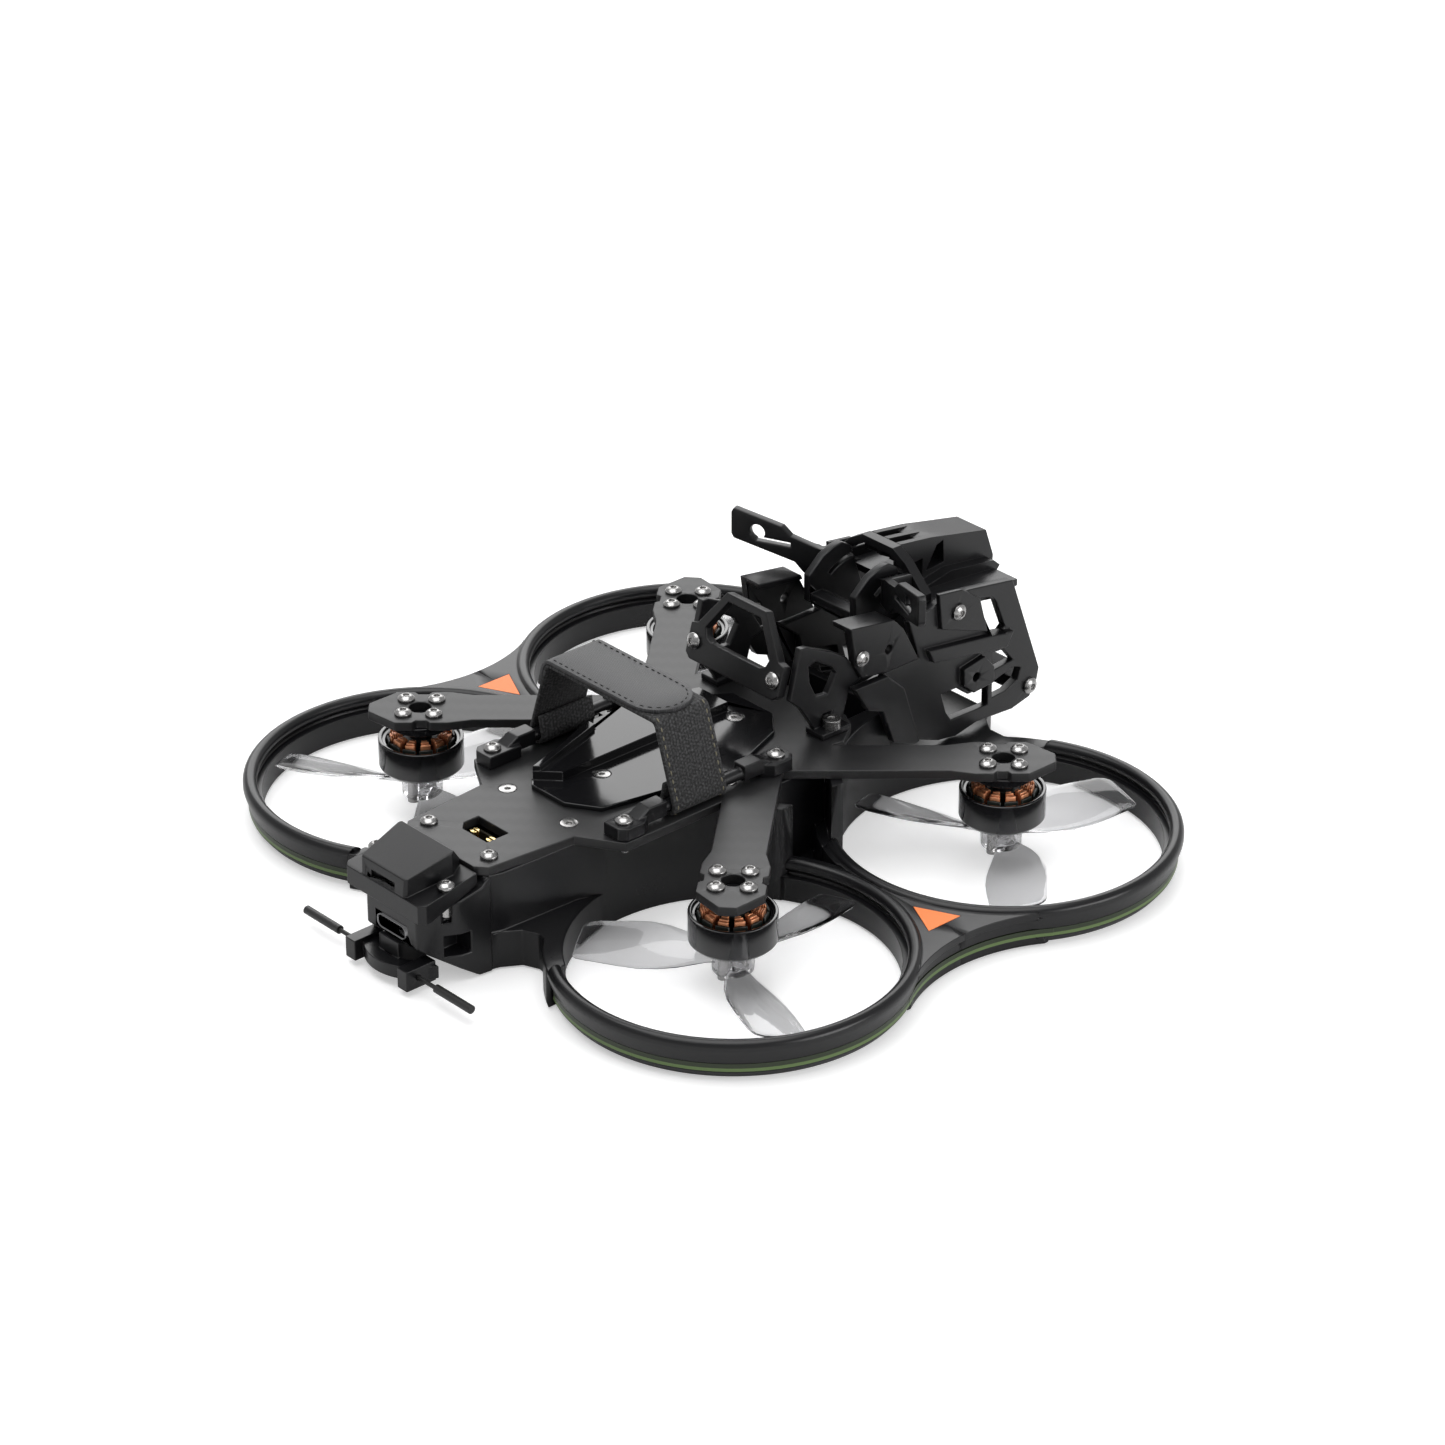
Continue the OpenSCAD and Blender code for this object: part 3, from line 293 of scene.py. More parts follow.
def grained(name, base, scale, rough, height, spread=0.35, **sockets):
    """A coated or moulded surface: fine grain in tone, gloss and height."""
    if name in bpy.data.materials:
        return bpy.data.materials[name]
    material, tree, shader = blank(name)
    node = tree.nodes.new("ShaderNodeGroup")
    node.node_tree = grain_group()
    node.inputs["Dark"].default_value = rgba(base, 1 - spread)
    node.inputs["Light"].default_value = rgba(base, 1 + spread)
    node.inputs["Scale"].default_value = scale
    node.inputs["Rough Low"].default_value = rough[0]
    node.inputs["Rough High"].default_value = rough[1]
    tree.links.new(node.outputs["Colour"], shader.inputs["Base Color"])
    tree.links.new(node.outputs["Roughness"], shader.inputs["Roughness"])
    bump(tree, shader, node.outputs["Height"], height)
    for label, value in sockets.items():
        shader.inputs[label.replace("_", " ")].default_value = value
    return material


def moulding():
    return grained("moulded_black", colours().moulding, 3500.0, (0.24, 0.34), 0.000012, Specular_IOR_Level=0.40)


def cage_plastic():
    return grained("cage_black", colours().cage, 4200.0, (0.26, 0.38), 0.000014, Specular_IOR_Level=0.38)


def steel():
    return grained("stainless", colours().steel, 2600.0, (0.20, 0.34), 0.000004, 0.12, Metallic=1.0)


def brass():
    return grained("gold_flash", colours().brass, 2600.0, (0.14, 0.24), 0.000003, 0.12, Metallic=1.0)


def anodised():
    return grained(
        "anodised_black", colours().anodised, 2400.0, (0.10, 0.17), 0.000002, 0.3, Coat_Weight=0.6, Coat_Roughness=0.08
    )


def rubber():
    return grained("antenna_tube", (0.014, 0.014, 0.014), 3000.0, (0.35, 0.5), 0.00001)


def plate_laminate():
    if "carbon_laminate" in bpy.data.materials:
        return bpy.data.materials["carbon_laminate"]
    material, tree, shader = blank("carbon_laminate")
    twill = tree.nodes.new("ShaderNodeGroup")
    twill.node_tree = twill_group()
    twill.inputs["Cells"].default_value = 620.0
    grain = tree.nodes.new("ShaderNodeGroup")
    grain.node_tree = grain_group()
    base = colours().plate
    grain.inputs["Dark"].default_value = rgba(base, 0.8)
    grain.inputs["Light"].default_value = rgba(base, 1.25)
    grain.inputs["Scale"].default_value = 2600.0
    tree.links.new(
        mix_colours(tree, twill.outputs["Mask"], grain.outputs["Colour"], rgba(base, 1.06)), shader.inputs["Base Color"]
    )
    tree.links.new(between(tree, twill.outputs["Mask"], 0.40, 0.42), shader.inputs["Roughness"])
    bump(tree, shader, grain.outputs["Height"], 0.000006)
    return material


def copper_wire():
    if "copper_wire" in bpy.data.materials:
        return bpy.data.materials["copper_wire"]
    return grained("copper_wire", colours().copper, 5200.0, (0.26, 0.42), 0.00002, 0.3, Metallic=0.75, Coat_Weight=0.4)


def clear_plastic():
    if "clear_polycarbonate" in bpy.data.materials:
        return bpy.data.materials["clear_polycarbonate"]
    material, tree, shader = blank("clear_polycarbonate")
    place = tree.nodes.new("ShaderNodeTexCoord").outputs["Object"]
    tree.links.new(between(tree, noise(tree, place, 260.0), 0.03, 0.09), shader.inputs["Roughness"])
    bump(tree, shader, noise(tree, place, 130.0, 2.0), 0.00004)
    shader.inputs["Base Color"].default_value = rgba(colours().clear)
    shader.inputs["Metallic"].default_value = 0.0
    shader.inputs["Transmission Weight"].default_value = 1.0
    shader.inputs["IOR"].default_value = 1.12
    shader.inputs["Coat Weight"].default_value = 1.0
    shader.inputs["Coat Roughness"].default_value = 0.04
    return material


def light_cover():
    if "light_cover" in bpy.data.materials:
        return bpy.data.materials["light_cover"]
    material, tree, shader = blank("light_cover")
    place = tree.nodes.new("ShaderNodeTexCoord").outputs["Object"]
    split = tree.nodes.new("ShaderNodeSeparateXYZ")
    tree.links.new(place, split.inputs[0])
    line = math_node(tree, "LESS_THAN", split.outputs[2], 0.0029)
    base = colours().light_strip
    tree.links.new(mix_colours(tree, line, rgba(base, 0.2), (0.10, 0.16, 0.05, 1)), shader.inputs["Base Color"])
    tree.links.new(between(tree, noise(tree, place, 900.0), 0.25, 0.4), shader.inputs["Roughness"])
    return material


def strap_fabric(name, base, light, threads, fuzz, height, rough):
    if name in bpy.data.materials:
        return bpy.data.materials[name]
    material, tree, shader = blank(name)
    node = tree.nodes.new("ShaderNodeGroup")
    node.node_tree = webbing_group()
    node.inputs["Threads"].default_value = threads
    node.inputs["Fuzz"].default_value = fuzz
    tree.links.new(mix_colours(tree, node.outputs["Mask"], rgba(base, 0.5), rgba(light)), shader.inputs["Base Color"])
    tree.links.new(between(tree, node.outputs["Mask"], rough[0], rough[1]), shader.inputs["Roughness"])
    bump(tree, shader, node.outputs["Height"], height)
    shader.inputs["Sheen Weight"].default_value = 0.05
    return material


def loop_side():
    return strap_fabric("loop_webbing", colours().webbing, (0.060, 0.060, 0.062), 1300.0, 0.85, 0.00035, (0.75, 0.95))


def tongue_side():
    base = colours().tongue
    return strap_fabric("coated_tongue", base, (base[0] * 1.6, base[1] * 1.6, base[2] * 1.6), 2600.0, 0.35, 0.00004, (0.42, 0.55))


def dark_thread():
    return grained("tongue_thread", (0.004, 0.004, 0.004), 6000.0, (0.6, 0.8), 0.00002)


def thread():
    return grained("stitch_thread", colours().thread, 6000.0, (0.6, 0.8), 0.00002)


def solder_mask():
    if "solder_mask" in bpy.data.materials:
        return bpy.data.materials["solder_mask"]
    material, tree, shader = blank("solder_mask")
    place = tree.nodes.new("ShaderNodeTexCoord").outputs["Object"]
    cells = tree.nodes.new("ShaderNodeTexVoronoi")
    cells.inputs["Scale"].default_value = 520.0
    tree.links.new(place, cells.inputs["Vector"])
    pads = math_node(tree, "LESS_THAN", cells.outputs["Distance"], 0.16)
    tree.links.new(mix_colours(tree, pads, (0.008, 0.016, 0.012, 1), (0.45, 0.42, 0.36, 1)), shader.inputs["Base Color"])
    tree.links.new(between(tree, pads, 0.35, 0.2), shader.inputs["Roughness"])
    return material


# ---- shared ways of making pieces -----------------------------------------


def from_bmesh(name, bm, material, body, smooth=35.0, weighted=False):
    mesh = bpy.data.meshes.new(name)
    bm.to_mesh(mesh)
    bm.free()
    mesh.materials.append(material)
    for face in mesh.polygons:
        face.use_smooth = True
    mesh.set_sharp_from_angle(angle=math.radians(smooth))
    piece = bpy.data.objects.new(name, mesh)
    bpy.context.scene.collection.objects.link(piece)
    if weighted:
        modifier = piece.modifiers.new("even_shading", "WEIGHTED_NORMAL")
        modifier.keep_sharp = True
        modifier.weight = 50
    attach(piece, body)
    return piece


def on_seam(edge):
    on_x = all(abs(v.co.x) < 4e-6 for v in edge.verts)
    return on_x or all(abs(abs(v.co.y) - SEAM_Y) < 4e-6 for v in edge.verts)


def inside(bm, low, high, room=3e-5):
    return all(low[k] - room <= v.co[k] <= high[k] + room for v in bm.verts for k in range(3))


def softened(name, nodes, material, width, seams=False, angle=27.0):
    """A piece that stands for CAD nodes of one body: their merged mesh with its sharp edges rounded."""
    body = frame["nodes"][nodes[0]]["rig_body"]
    total = bmesh.new()
    for node in nodes:
        low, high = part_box(node)
        for radius in (width, width / 2, width / 4, 0):
            bm = bmesh.new()
            bm.from_mesh(frame["nodes"][node].data)
            bmesh.ops.remove_doubles(bm, verts=bm.verts, dist=2e-6)
            bmesh.ops.dissolve_degenerate(bm, dist=1e-6, edges=bm.edges)
            bmesh.ops.dissolve_limit(bm, angle_limit=math.radians(0.4), verts=bm.verts, edges=bm.edges)
            sharp = [
                e
                for e in bm.edges
                if e.is_manifold and e.calc_face_angle(0) > math.radians(angle) and not (seams and on_seam(e))
            ]
            if radius and sharp:
                bmesh.ops.bevel(
                    bm, geom=sharp, offset=radius, offset_type="OFFSET", affect="EDGES", segments=2, profile=0.5,
                    material=-1, clamp_overlap=False, miter_outer="SHARP", miter_inner="SHARP",
                )
            if inside(bm, low, high):
                break
            bm.free()
        bmesh.ops.triangulate(bm, faces=[f for f in bm.faces if len(f.verts) > 4])
        part = bpy.data.meshes.new("part")
        bm.to_mesh(part)
        bm.free()
        total.from_mesh(part)
        bpy.data.meshes.remove(part)
    piece = from_bmesh(name, total, material, body, 52.0, weighted=True)
    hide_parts(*nodes)
    return piece


def painted(nodes, material):
    """CAD nodes whose shape stays, with this material."""
    for node in nodes:
        data = frame["nodes"][node].data
        data.materials.clear()
        data.materials.append(material)


def frame_matrix(origin, x, y, z):
    """A matrix whose columns are three scaled directions and an origin."""
    return Matrix(
        ((x[0], y[0], z[0], origin[0]), (x[1], y[1], z[1], origin[1]), (x[2], y[2], z[2], origin[2]), (0, 0, 0, 1))
    )


def rounded_box(bm, matrix, radius, segments=2):
    """A box with rounded edges. The matrix scales a cube of side 1."""
    made = bmesh.ops.create_cube(bm, size=1.0, matrix=matrix)["verts"]
    edges = {e for v in made for e in v.link_edges}
    bmesh.ops.bevel(
        bm, geom=list(edges), offset=radius, offset_type="OFFSET", affect="EDGES", segments=segments, profile=0.5,
        material=-1, clamp_overlap=True,
    )


def axis_of(corner):
    low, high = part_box("bell_" + corner)
    return Vector(((low.x + high.x) / 2, (low.y + high.y) / 2, low.z))


def lathe(bm, centre, profile, steps=48):
    """Spins an outline of (radius, height) pairs round an upright axis."""
    verts = [bm.verts.new((centre.x + r, centre.y, z)) for r, z in profile]
    edges = [bm.edges.new((verts[k], verts[k + 1])) for k in range(len(verts) - 1)]
    bmesh.ops.spin(
        bm, geom=verts + edges, cent=centre, axis=(0, 0, 1), dvec=(0, 0, 0), angle=2 * math.pi, steps=steps,
        use_merge=True, use_duplicate=False,
    )
    bmesh.ops.remove_doubles(bm, verts=bm.verts, dist=1e-7)


# ---- operators -------------------------------------------------------------


class DRONE_OT_stage(bpy.types.Operator):
    """Pale floor, soft studio light and the camera"""

    bl_idname = "drone.stage"
    bl_label = "Stage and camera"

    def execute(self, context):
        scene = context.scene
        scene.view_settings.view_transform = "Standard"
        camera = bpy.data.objects.new("camera", bpy.data.cameras.new("camera"))
        scene.collection.objects.link(camera)
        back = Vector((-0.5909, -0.6536, 0.4729))
        camera.location = (-0.6012, -0.6691, 0.5082)
        camera.rotation_euler = (-back).to_track_quat("-Z", "Y").to_euler()
        camera.data.lens = 124.47
        camera.data.sensor_width = 36.0
        scene.camera = camera

        world = bpy.data.worlds.new("studio")
        scene.world = world
        world.use_nodes = True
        tree = world.node_tree
        place = tree.nodes.new("ShaderNodeTexCoord").outputs["Generated"]
        split = tree.nodes.new("ShaderNodeSeparateXYZ")
        tree.links.new(place, split.inputs[0])
        ramp = tree.nodes.new("ShaderNodeValToRGB")
        ramp.color_ramp.elements[0].position = 0.0
        ramp.color_ramp.elements[0].color = (1.0, 1.0, 1.0, 1)
        ramp.color_ramp.elements[1].position = 0.9
        ramp.color_ramp.elements[1].color = (0.55, 0.55, 0.56, 1)
        tree.links.new(split.outputs[2], ramp.inputs[0])
        shade = tree.nodes["Background"]
        tree.links.new(ramp.outputs[0], shade.inputs["Color"])
        shade.inputs["Strength"].default_value = 0.62

        bm = bmesh.new()
        bmesh.ops.create_grid(bm, x_segments=4, y_segments=4, size=sizes().floor / 2)
        bmesh.ops.translate(bm, vec=(0, 0, -0.0003), verts=bm.verts)
        mesh = bpy.data.meshes.new("floor")
        bm.to_mesh(mesh)
        bm.free()
        floor = bpy.data.objects.new("floor", mesh)
        scene.collection.objects.link(floor)
        paint = grained("floor_paint", colours().floor, 30.0, (0.7, 0.8), 0.0, 0.01)
        seen = paint.node_tree.nodes.new("ShaderNodeLightPath").outputs["Is Camera Ray"]
        shader = paint.node_tree.nodes["Principled BSDF"]
        shader.inputs["Emission Color"].default_value = (1, 1, 1, 1)
        lift = between(paint.node_tree, seen, 0.0, 0.42)
        paint.node_tree.links.new(lift, shader.inputs["Emission Strength"])
        mesh.materials.append(paint)

        # a broad light behind and above, one overhead and a low one at the side
        for name, place, size, power in (
            ("back_light", (0.75, 0.95, 0.75), (1.3, 0.8), 9.0),
            ("top_light", (-0.15, 0.1, 1.3), (1.2, 1.2), 13.0),
            ("side_light", (0.35, -1.3, 0.55), (0.9, 0.6), 8.0),
        ):
            data = bpy.data.lights.new(name, "AREA")
            data.shape = "RECTANGLE"
            data.size, data.size_y = size
            data.energy = power
            light = bpy.data.objects.new(name, data)
            scene.collection.objects.link(light)
            light.location = place
            light.rotation_euler = Vector(place).to_track_quat("Z", "Y").to_euler()
        return {"FINISHED"}


class DRONE_OT_moulded_frame(bpy.types.Operator):
    """Moulded body, its four ring ducts, the inserts and the light strips"""

    bl_idname = "drone.moulded_frame"
    bl_label = "Moulded frame"

    def execute(self, context):
        softened("moulded_body", ["fuselage"], moulding(), sizes().body_edge, seams=True)
        softened("ring_ducts", ["duct_" + c for c in CORNERS], moulding(), sizes().edge, seams=True)
        painted(["side_inserts"], grained("insert_orange", colours().orange, 2500.0, (0.45, 0.55), 0.00001, 0.08))
        painted(["led_strips"], light_cover())
        return {"FINISHED"}


class DRONE_OT_top_plate(bpy.types.Operator):
    """Carbon top plate with its four arms"""

    bl_idname = "drone.top_plate"
    bl_label = "Top plate"

    def execute(self, context):
        softened("carbon_plate", ["top_plate"], plate_laminate(), 0.00022)
        return {"FINISHED"}


class DRONE_OT_battery_mount(bpy.types.Operator):
    """Battery tray and the two bars that the strap turns round"""

    bl_idname = "drone.battery_mount"
    bl_label = "Battery mount"

    def execute(self, context):
        gloss = grained("tray_black", colours().moulding, 1500.0, (0.09, 0.15), 0.000004, 0.25)
        softened("glossy_tray", ["battery_tray"], gloss, 0.0002)
        softened("screwed_bars", ["strap_bars"], moulding(), sizes().edge)
        return {"FINISHED"}


class DRONE_OT_battery_strap(bpy.types.Operator):
    """Webbing strap with its stitched tongue"""

    bl_idname = "drone.battery_strap"
    bl_label = "Battery strap"

    def corner(self, y, z, radius, start, stop, steps=7):
        turn = [math.radians(start + (stop - start) * k / steps) for k in range(steps + 1)]
        return [(y + radius * math.cos(t), z + radius * math.sin(t)) for t in turn]

    def paths(self):
        """Centrelines of the webbing and of the tongue on the YZ plane, in metres."""
        low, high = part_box("battery_strap")
        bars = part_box("strap_bars")
        thick, tongue = sizes().strap_thickness, sizes().tongue_thickness
        bar_y, bar_z, bar_r = bars[1].y - 0.0031, bars[0].z + 0.0022, 0.0013
        turn = bar_r + thick / 2 + 0.0001
        top = high.z - tongue - thick / 2 - 0.00005
        side = high.y - 0.0056 - thick / 2
        half = [(bar_y - turn + 0.0008, bar_z + 0.0044)]
        half += self.corner(bar_y, bar_z, turn, 180, 374, 16)
        bend = 0.0016
        half += self.corner(side - bend, top - bend, bend, 16, 90)
        webbing = half + [(y * -1, z) for y, z in reversed(half)]
        rise = (thick + tongue) / 2 + 0.00003
        lean = math.radians(16)
        start = (side + 0.0011 + rise * math.cos(lean), top - bend - 0.0036)
        over = [start] + self.corner(side - bend, top - bend, bend + rise, 16, 90)
        end_y = -(side - 0.0004)
        radius = sizes().strap_width / 2
        flat = end_y + radius
        over += [(flat * (k / 6) + over[-1][0] * (1 - k / 6), top + rise) for k in range(1, 7)]
        rounded = [(flat - radius * math.sin(math.radians(9 * k)), top + rise) for k in range(1, 11)]
        return webbing, over, rounded, radius

    def band(self, name, path, shares, thick, material, slot):
        middle = sum(c.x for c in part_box("battery_strap")) / 2
        half = sizes().strap_width / 2
        bm = bmesh.new()
        uv = bm.loops.layers.uv.new("along")
        ends = [bm.verts.new((middle + s * half * shares[0], path[0][0], path[0][1])) for s in (-1, 1)]
        edge = bm.edges.new(ends)
        travelled = {v: 0.0 for v in ends}
        total = 0.0
        for k in range(1, len(path)):
            made = bmesh.ops.extrude_edge_only(bm, edges=[edge])["geom"]
            ends = [g for g in made if isinstance(g, bmesh.types.BMVert)]
            edge = next(g for g in made if isinstance(g, bmesh.types.BMEdge) and all(v in ends for v in g.verts))
            step = Vector((0, path[k][0] - path[k - 1][0], path[k][1] - path[k - 1][1]))
            bmesh.ops.translate(bm, vec=step, verts=ends)
            scale = max(shares[k], 0.06) / max(shares[k - 1], 0.06)
            about = Matrix.Translation((-middle, 0, 0))
            bmesh.ops.scale(bm, vec=(scale, 1, 1), space=about, verts=ends)
            total += step.length
            for v in ends:
                travelled[v] = total
        for face in bm.faces:
            for loop in face.loops:
                loop[uv].uv = (loop.vert.co.x - middle, travelled[loop.vert])
        bmesh.ops.recalc_face_normals(bm, faces=bm.faces)
        piece = from_bmesh(name, bm, material, "root", 60.0)
        shell = piece.modifiers.new("thickness", "SOLIDIFY")
        shell.thickness = thick
        shell.offset = 0.0
        edge_round = piece.modifiers.new("soft_edge", "BEVEL")
        edge_round.width = thick * 0.3
        edge_round.segments = 2
        edge_round.limit_method = "ANGLE"
        edge_round.angle_limit = math.radians(50)
        return piece, total

    def stitches(self, rows, thick, yarn):
        """Short raised stitches along rows of points with their normals."""
        bm = bmesh.new()
        pitch, size = sizes().stitch_pitch, sizes().stitch
        for row in rows:
            carried = pitch / 2
            for (a, normal), (b, _) in zip(row, row[1:]):
                step = b - a
                span = step.length
                if span < 1e-7:
                    continue
                along = step / span
                while carried < span:
                    point = a + along * carried + normal * (thick / 2)
                    across = along.cross(normal).normalized()
                    matrix = frame_matrix(point, along * size / 2, across * 0.00017, normal * 0.00016)
                    bmesh.ops.create_uvsphere(bm, u_segments=7, v_segments=5, radius=1.0, matrix=matrix)
                    carried += pitch
                carried -= span
        bmesh.ops.recalc_face_normals(bm, faces=bm.faces)
        return from_bmesh("strap_stitches", bm, yarn, "root", 80.0)

    def edge_row(self, path, x, outward):
        points = [Vector((x, y, z)) for y, z in path]
        row = []
        for k, point in enumerate(points):
            ahead = points[min(k + 1, len(points) - 1)] - points[max(k - 1, 0)]
            normal = Vector((1, 0, 0)).cross(ahead).normalized() * outward
            row.append((point, normal))
        return row

    def execute(self, context):
        webbing, over, rounded, radius = self.paths()
        thick, tongue = sizes().strap_thickness, sizes().tongue_thickness
        strap, long = self.band("loop_strap", webbing, [1.0] * len(webbing), thick, loop_side(), "strap_webbing")
        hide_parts("battery_strap")
        shares = [1.0] * len(over) + [math.cos(math.radians(9 * k)) for k in range(1, 11)]
        cover, reach = self.band("strap_tongue", over + rounded, shares, tongue, tongue_side(), "strap_webbing")
        middle = sum(c.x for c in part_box("battery_strap")) / 2
        inset = 0.0010
        rows = []
        half = len(webbing) // 2
        for s in (-1, 1):
            x = middle + s * (radius - inset)
            rows.append(self.edge_row(webbing[10:half], x, -1))
            rows.append(self.edge_row(webbing[half:-10], x, -1))
        sew = self.stitches(rows, thick, thread())
        sew.name = "webbing_stitches"
        rows = [self.edge_row(over, middle + s * (radius - inset), -1) for s in (-1, 1)]
        centre = Vector((middle, over[-1][0], over[-1][1]))
        turn = [math.radians(-9 * k) for k in range(21)]
        rim = [centre + Vector((math.cos(t), math.sin(t), 0)) * (radius - inset) for t in turn]
        rows.append([(point, Vector((0, 0, 1))) for point in rim])
        self.stitches(rows, tongue, dark_thread()).name = "tongue_stitches"
        return {"FINISHED"}


class DRONE_OT_motors(bpy.types.Operator):
    """Motor bells, cores, copper windings, bases and shafts"""

    bl_idname = "drone.motors"
    bl_label = "Motors"

    def core(self, bm, axis):
        low = axis.z + 0.0024
        lathe(
            bm, axis,
            [(0.00245, low), (0.0034, low), (0.0034, low + 0.0048), (0.00245, low + 0.0048), (0.00245, low)], 32,
        )
        for k in range(12):
            turn = Matrix.Translation((axis.x, axis.y, low + 0.0024)) @ Matrix.Rotation(math.radians(30 * k), 4, "Z")
            tooth = turn @ Matrix.Translation((0.0050, 0, 0)) @ Matrix.Diagonal((0.0034, 0.0009, 0.0046, 1))
            shoe = turn @ Matrix.Translation((0.00675, 0, 0)) @ Matrix.Diagonal((0.0005, 0.0028, 0.0046, 1))
            bmesh.ops.create_cube(bm, size=1.0, matrix=tooth)
            rounded_box(bm, shoe, 0.00012, 1)

    def windings(self, bm, axis):
        step = sizes().wire
        middle = axis.z + 0.0051
        for k in range(12):
            turn = Matrix.Translation((axis.x, axis.y, middle)) @ Matrix.Rotation(math.radians(30 * k), 4, "Z")
            for j in range(6):
                reach = 0.0040 + step * j
                wide = 2 * (reach * math.tan(math.radians(15)) - 0.00058)
                tall = 0.0062 + 0.0004 * ((j + k) % 2) - 0.0003 * abs(j - 2.5)
                loop = Matrix.Translation((reach, 0, 0)) @ Matrix.Diagonal((step * 1.02, wide, tall, 1))
                rounded_box(bm, turn @ loop, step * 0.42)

    def execute(self, context):
        cores, coils = bmesh.new(), bmesh.new()
        for corner in CORNERS:
            axis = axis_of(corner)
            self.core(cores, axis)
            self.windings(coils, axis)
            softened("motor_bell_" + corner, ["bell_" + corner], anodised(), 0.00018)
            painted(["shaft_" + corner], steel())
        for bm in (cores, coils):
            bmesh.ops.recalc_face_normals(bm, faces=bm.faces)
        laminate = grained("core_coating", (0.012, 0.016, 0.013), 2600.0, (0.35, 0.5), 0.00001)
        core = from_bmesh("motor_cores", cores, laminate, "root", 40.0)
        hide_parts(*["stator_" + c for c in CORNERS])
        from_bmesh("motor_windings", coils, copper_wire(), "root", 60.0)
        softened("motor_bases", ["motor_mount_" + c for c in CORNERS], anodised(), 0.00015)
        return {"FINISHED"}


class DRONE_OT_propellers(bpy.types.Operator):
    """Clear three-bladed propellers and their screws"""

    bl_idname = "drone.propellers"
    bl_label = "Propellers"

    # distance from the axis in mm, share of the widest chord, sweep in mm, share of the root's thickness, pitch
    SECTIONS = (
        (3.4, 0.24, 0.0, 1.25, 30), (5.2, 0.33, 0.1, 1.15, 28), (7.5, 0.50, 0.3, 1.0, 25), (10.5, 0.72, 0.5, 0.9, 22),
        (14.0, 0.90, 0.5, 0.8, 19), (18.0, 1.0, 0.4, 0.72, 17), (22.0, 0.99, 0.1, 0.66, 15), (25.5, 0.95, -0.2, 0.6, 13),
        (28.4, 0.92, -0.4, 0.54, 12), (30.2, 0.86, -0.7, 0.48, 12), (30.9, 0.78, -0.9, 0.4, 12), (31.2, 0.70, -1.0, 0.25, 12),
    )

    def blade(self, bm, axis, height, azimuth, hand):
        turn = Matrix.Rotation(math.radians(azimuth), 3, "Z")
        chord_full, thick_full = sizes().blade_width, sizes().blade_thickness
        rings = []
        for reach, share, sweep, thin, pitch in self.SECTIONS:
            tilt = Matrix.Rotation(math.radians(pitch * hand), 3, "X")
            along = turn @ Vector((1, 0, 0))
            chord = turn @ tilt @ Vector((0, 1, 0)) * (chord_full * share / 2)
            rise = turn @ tilt @ Vector((0, 0, 1)) * (thick_full * thin / 2)
            origin = Vector((axis.x, axis.y, height)) + turn @ Vector((reach * MM, sweep * MM * hand, 0))
            made = bmesh.ops.create_circle(
                bm, cap_ends=False, segments=20, radius=1.0, matrix=frame_matrix(origin, chord, rise, along)
            )["verts"]
            rings.append(made)
        for a, b in zip(rings, rings[1:]):
            edges = {e for v in a + b for e in v.link_edges if len(e.link_faces) < 2}
            loops = [e for e in edges if all(v in a for v in e.verts) or all(v in b for v in e.verts)]
            bmesh.ops.bridge_loops(bm, edges=loops)
        for ring in (rings[0], rings[-1]):
            bmesh.ops.contextual_create(bm, geom=ring)

    def hub(self, bm, axis, low, high):
        top, bottom = high - 0.00002, low + 0.00002
        lathe(
            bm, axis,
            [(0.00085, bottom), (0.0039, bottom), (0.0042, bottom + 0.0004), (0.0045, top - 0.0009), (0.0045, top - 0.0003),
             (0.0042, top), (0.0037, top), (0.0037, bottom + 0.0012), (0.0017, bottom + 0.0012), (0.0016, top),
             (0.00085, top), (0.00085, bottom)],
            56,
        )

    def execute(self, context):
        for corner in CORNERS:
            axis = axis_of(corner)
            low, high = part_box("propeller_" + corner)
            hand = -1 if axis.x * axis.y > 0 else 1
            bm = bmesh.new()
            for k in range(3):
                self.blade(bm, axis, low.z + 0.00269, FIRST_BLADE[corner] + 120 * k, hand)
            self.hub(bm, axis, low.z, axis.z)
            bmesh.ops.recalc_face_normals(bm, faces=bm.faces)
            piece = from_bmesh("clear_propeller_" + corner, bm, clear_plastic(), "rotor_" + corner, 45.0)
            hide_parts("propeller_" + corner)
            painted(["prop_screws_" + corner], steel())
        return {"FINISHED"}


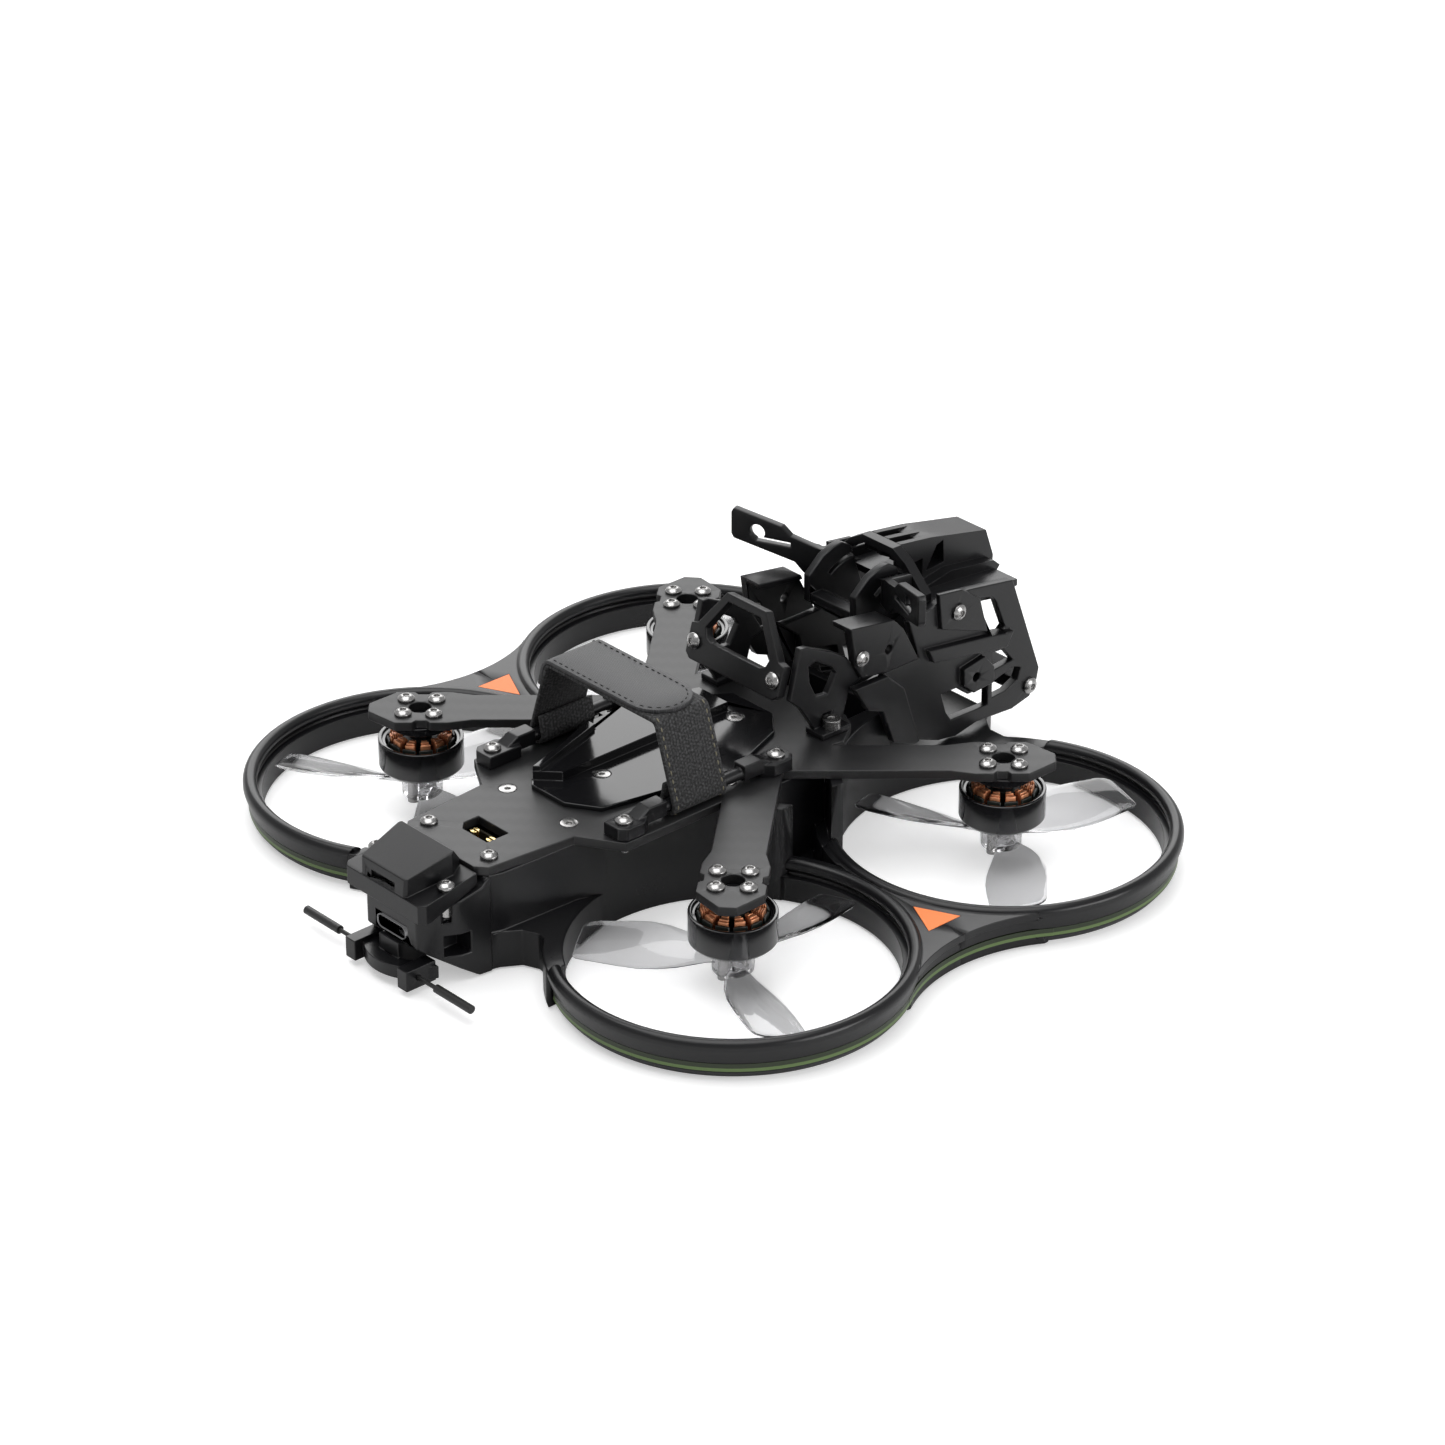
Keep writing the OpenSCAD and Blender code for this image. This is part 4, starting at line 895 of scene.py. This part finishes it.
class DRONE_OT_tail(bpy.types.Operator):
    """Rear cover, power socket, USB socket and the antenna with its carrier"""

    bl_idname = "drone.tail"
    bl_label = "Tail"

    def usb_socket(self):
        """A pressed shell with round ends, open to the rear, with a contact tongue in it."""
        low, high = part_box("usb_port")
        centre = Vector((low.x + 0.0037, 0, low.z + 0.00158))
        bm = bmesh.new()
        bmesh.ops.create_cube(
            bm, size=1.0, matrix=Matrix.Translation(centre) @ Matrix.Diagonal((0.0074, 0.00894, 0.00316, 1))
        )
        long_edges = [e for e in bm.edges if abs(e.verts[0].co.x - e.verts[1].co.x) > 0.001]
        bmesh.ops.bevel(
            bm, geom=long_edges, offset=0.0014, offset_type="OFFSET", affect="EDGES", segments=5, profile=0.5,
            material=-1, clamp_overlap=True,
        )
        rear = [f for f in bm.faces if f.normal.x < -0.9]
        bmesh.ops.delete(bm, geom=rear, context="FACES_ONLY")
        metal = grained("pressed_shell", (0.22, 0.22, 0.225), 2400.0, (0.2, 0.3), 0.000003, 0.15, Metallic=1.0)
        shell = from_bmesh("usb_shell", bm, metal, "root", 40.0)
        wall = shell.modifiers.new("wall", "SOLIDIFY")
        wall.thickness = 0.0003
        wall.offset = -1.0
        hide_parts("usb_port")
        bm = bmesh.new()
        tongue = Matrix.Translation(centre + Vector((0.0006, 0, 0))) @ Matrix.Diagonal((0.0048, 0.0064, 0.0007, 1))
        rounded_box(bm, tongue, 0.00015)
        from_bmesh("usb_tongue", bm, moulding(), "root", 40.0)

    def execute(self, context):
        softened("tail_cover", ["rear_cover"], cage_plastic(), 0.0003)
        softened("antenna_carrier", ["antenna_mount"], moulding(), 0.0002)
        softened("socket_body", ["power_socket"], grained("socket_nylon", (0.018, 0.015, 0.009), 2500.0, (0.30, 0.42), 0.00001), 0.00015)
        softened("split_pins", ["power_pins"], brass(), 0.00012)
        self.usb_socket()
        painted(["antenna"], rubber())
        return {"FINISHED"}


class DRONE_OT_electronics(bpy.types.Operator):
    """Flight controller, standoffs and capacitor"""

    bl_idname = "drone.electronics"
    bl_label = "Electronics"

    def execute(self, context):
        painted(["flight_controller"], solder_mask())
        painted(["standoffs"], brass())
        painted(["capacitor"], grained("shrink_sleeve", (0.012, 0.014, 0.04), 1800.0, (0.2, 0.3), 0.000004))
        return {"FINISHED"}


class DRONE_OT_camera_cage(bpy.types.Operator):
    """Camera cage, its hoop and fins, the antenna arms and the tilting cradle"""

    bl_idname = "drone.camera_cage"
    bl_label = "Camera cage"

    def execute(self, context):
        edge = sizes().edge
        for name, node in (
            ("hexagon_frame", "cage_rear_frame"), ("left_rail", "cage_rail_left"), ("right_rail", "cage_rail_right"),
            ("left_side_plate", "cage_side_left"), ("right_side_plate", "cage_side_right"), ("cage_hood", "cage_cap"),
            ("antenna_holders", "antenna_arms"), ("tilting_cradle", "camera_cradle"),
        ):
            softened(name, [node], cage_plastic(), edge)
        return {"FINISHED"}


class DRONE_OT_screws(bpy.types.Operator):
    """Every screw and the cradle's pins"""

    bl_idname = "drone.screws"
    bl_label = "Screws"

    def execute(self, context):
        for name, node in (
            ("pivot_screws", "tilt_pins"), ("cage_fasteners", "cage_screws"), ("plate_fasteners", "plate_screws"),
            ("bar_fasteners", "bar_screws"), ("motor_fasteners", "motor_screws"), ("socket_head_screws", "cap_screws"),
        ):
            softened(name, [node], steel(), 0.00008, angle=35.0)
        return {"FINISHED"}


class DRONE_PT_pieces(bpy.types.Panel):
    """Sizes, colours and the steps that build the drone"""

    bl_label = "Ducted racing drone"
    bl_space_type = "VIEW_3D"
    bl_region_type = "UI"
    bl_category = "Drone"

    def draw(self, context):
        for group in (context.scene.drone_sizes, context.scene.drone_colours):
            for name in group.__annotations__:
                self.layout.prop(group, name)
        for step in STEPS:
            self.layout.operator(step.bl_idname)


STEPS = (
    DRONE_OT_stage, DRONE_OT_moulded_frame, DRONE_OT_top_plate, DRONE_OT_battery_mount, DRONE_OT_battery_strap,
    DRONE_OT_motors, DRONE_OT_propellers, DRONE_OT_tail, DRONE_OT_electronics, DRONE_OT_camera_cage, DRONE_OT_screws,
)
CLASSES = (DroneSizes, DroneColours) + STEPS + (DRONE_PT_pieces,)


def register():
    for cls in CLASSES:
        bpy.utils.register_class(cls)
    bpy.types.Scene.drone_sizes = PointerProperty(type=DroneSizes)
    bpy.types.Scene.drone_colours = PointerProperty(type=DroneColours)


def unregister():
    del bpy.types.Scene.drone_colours
    del bpy.types.Scene.drone_sizes
    for cls in reversed(CLASSES):
        bpy.utils.unregister_class(cls)


def main():
    register()
    bpy.ops.drone.stage()
    bpy.ops.drone.moulded_frame()
    bpy.ops.drone.top_plate()
    bpy.ops.drone.battery_mount()
    bpy.ops.drone.battery_strap()
    bpy.ops.drone.motors()
    bpy.ops.drone.propellers()
    bpy.ops.drone.tail()
    bpy.ops.drone.electronics()
    bpy.ops.drone.camera_cage()
    bpy.ops.drone.screws()
    bpy.context.view_layer.update()


if __name__ == "__main__":
    main()
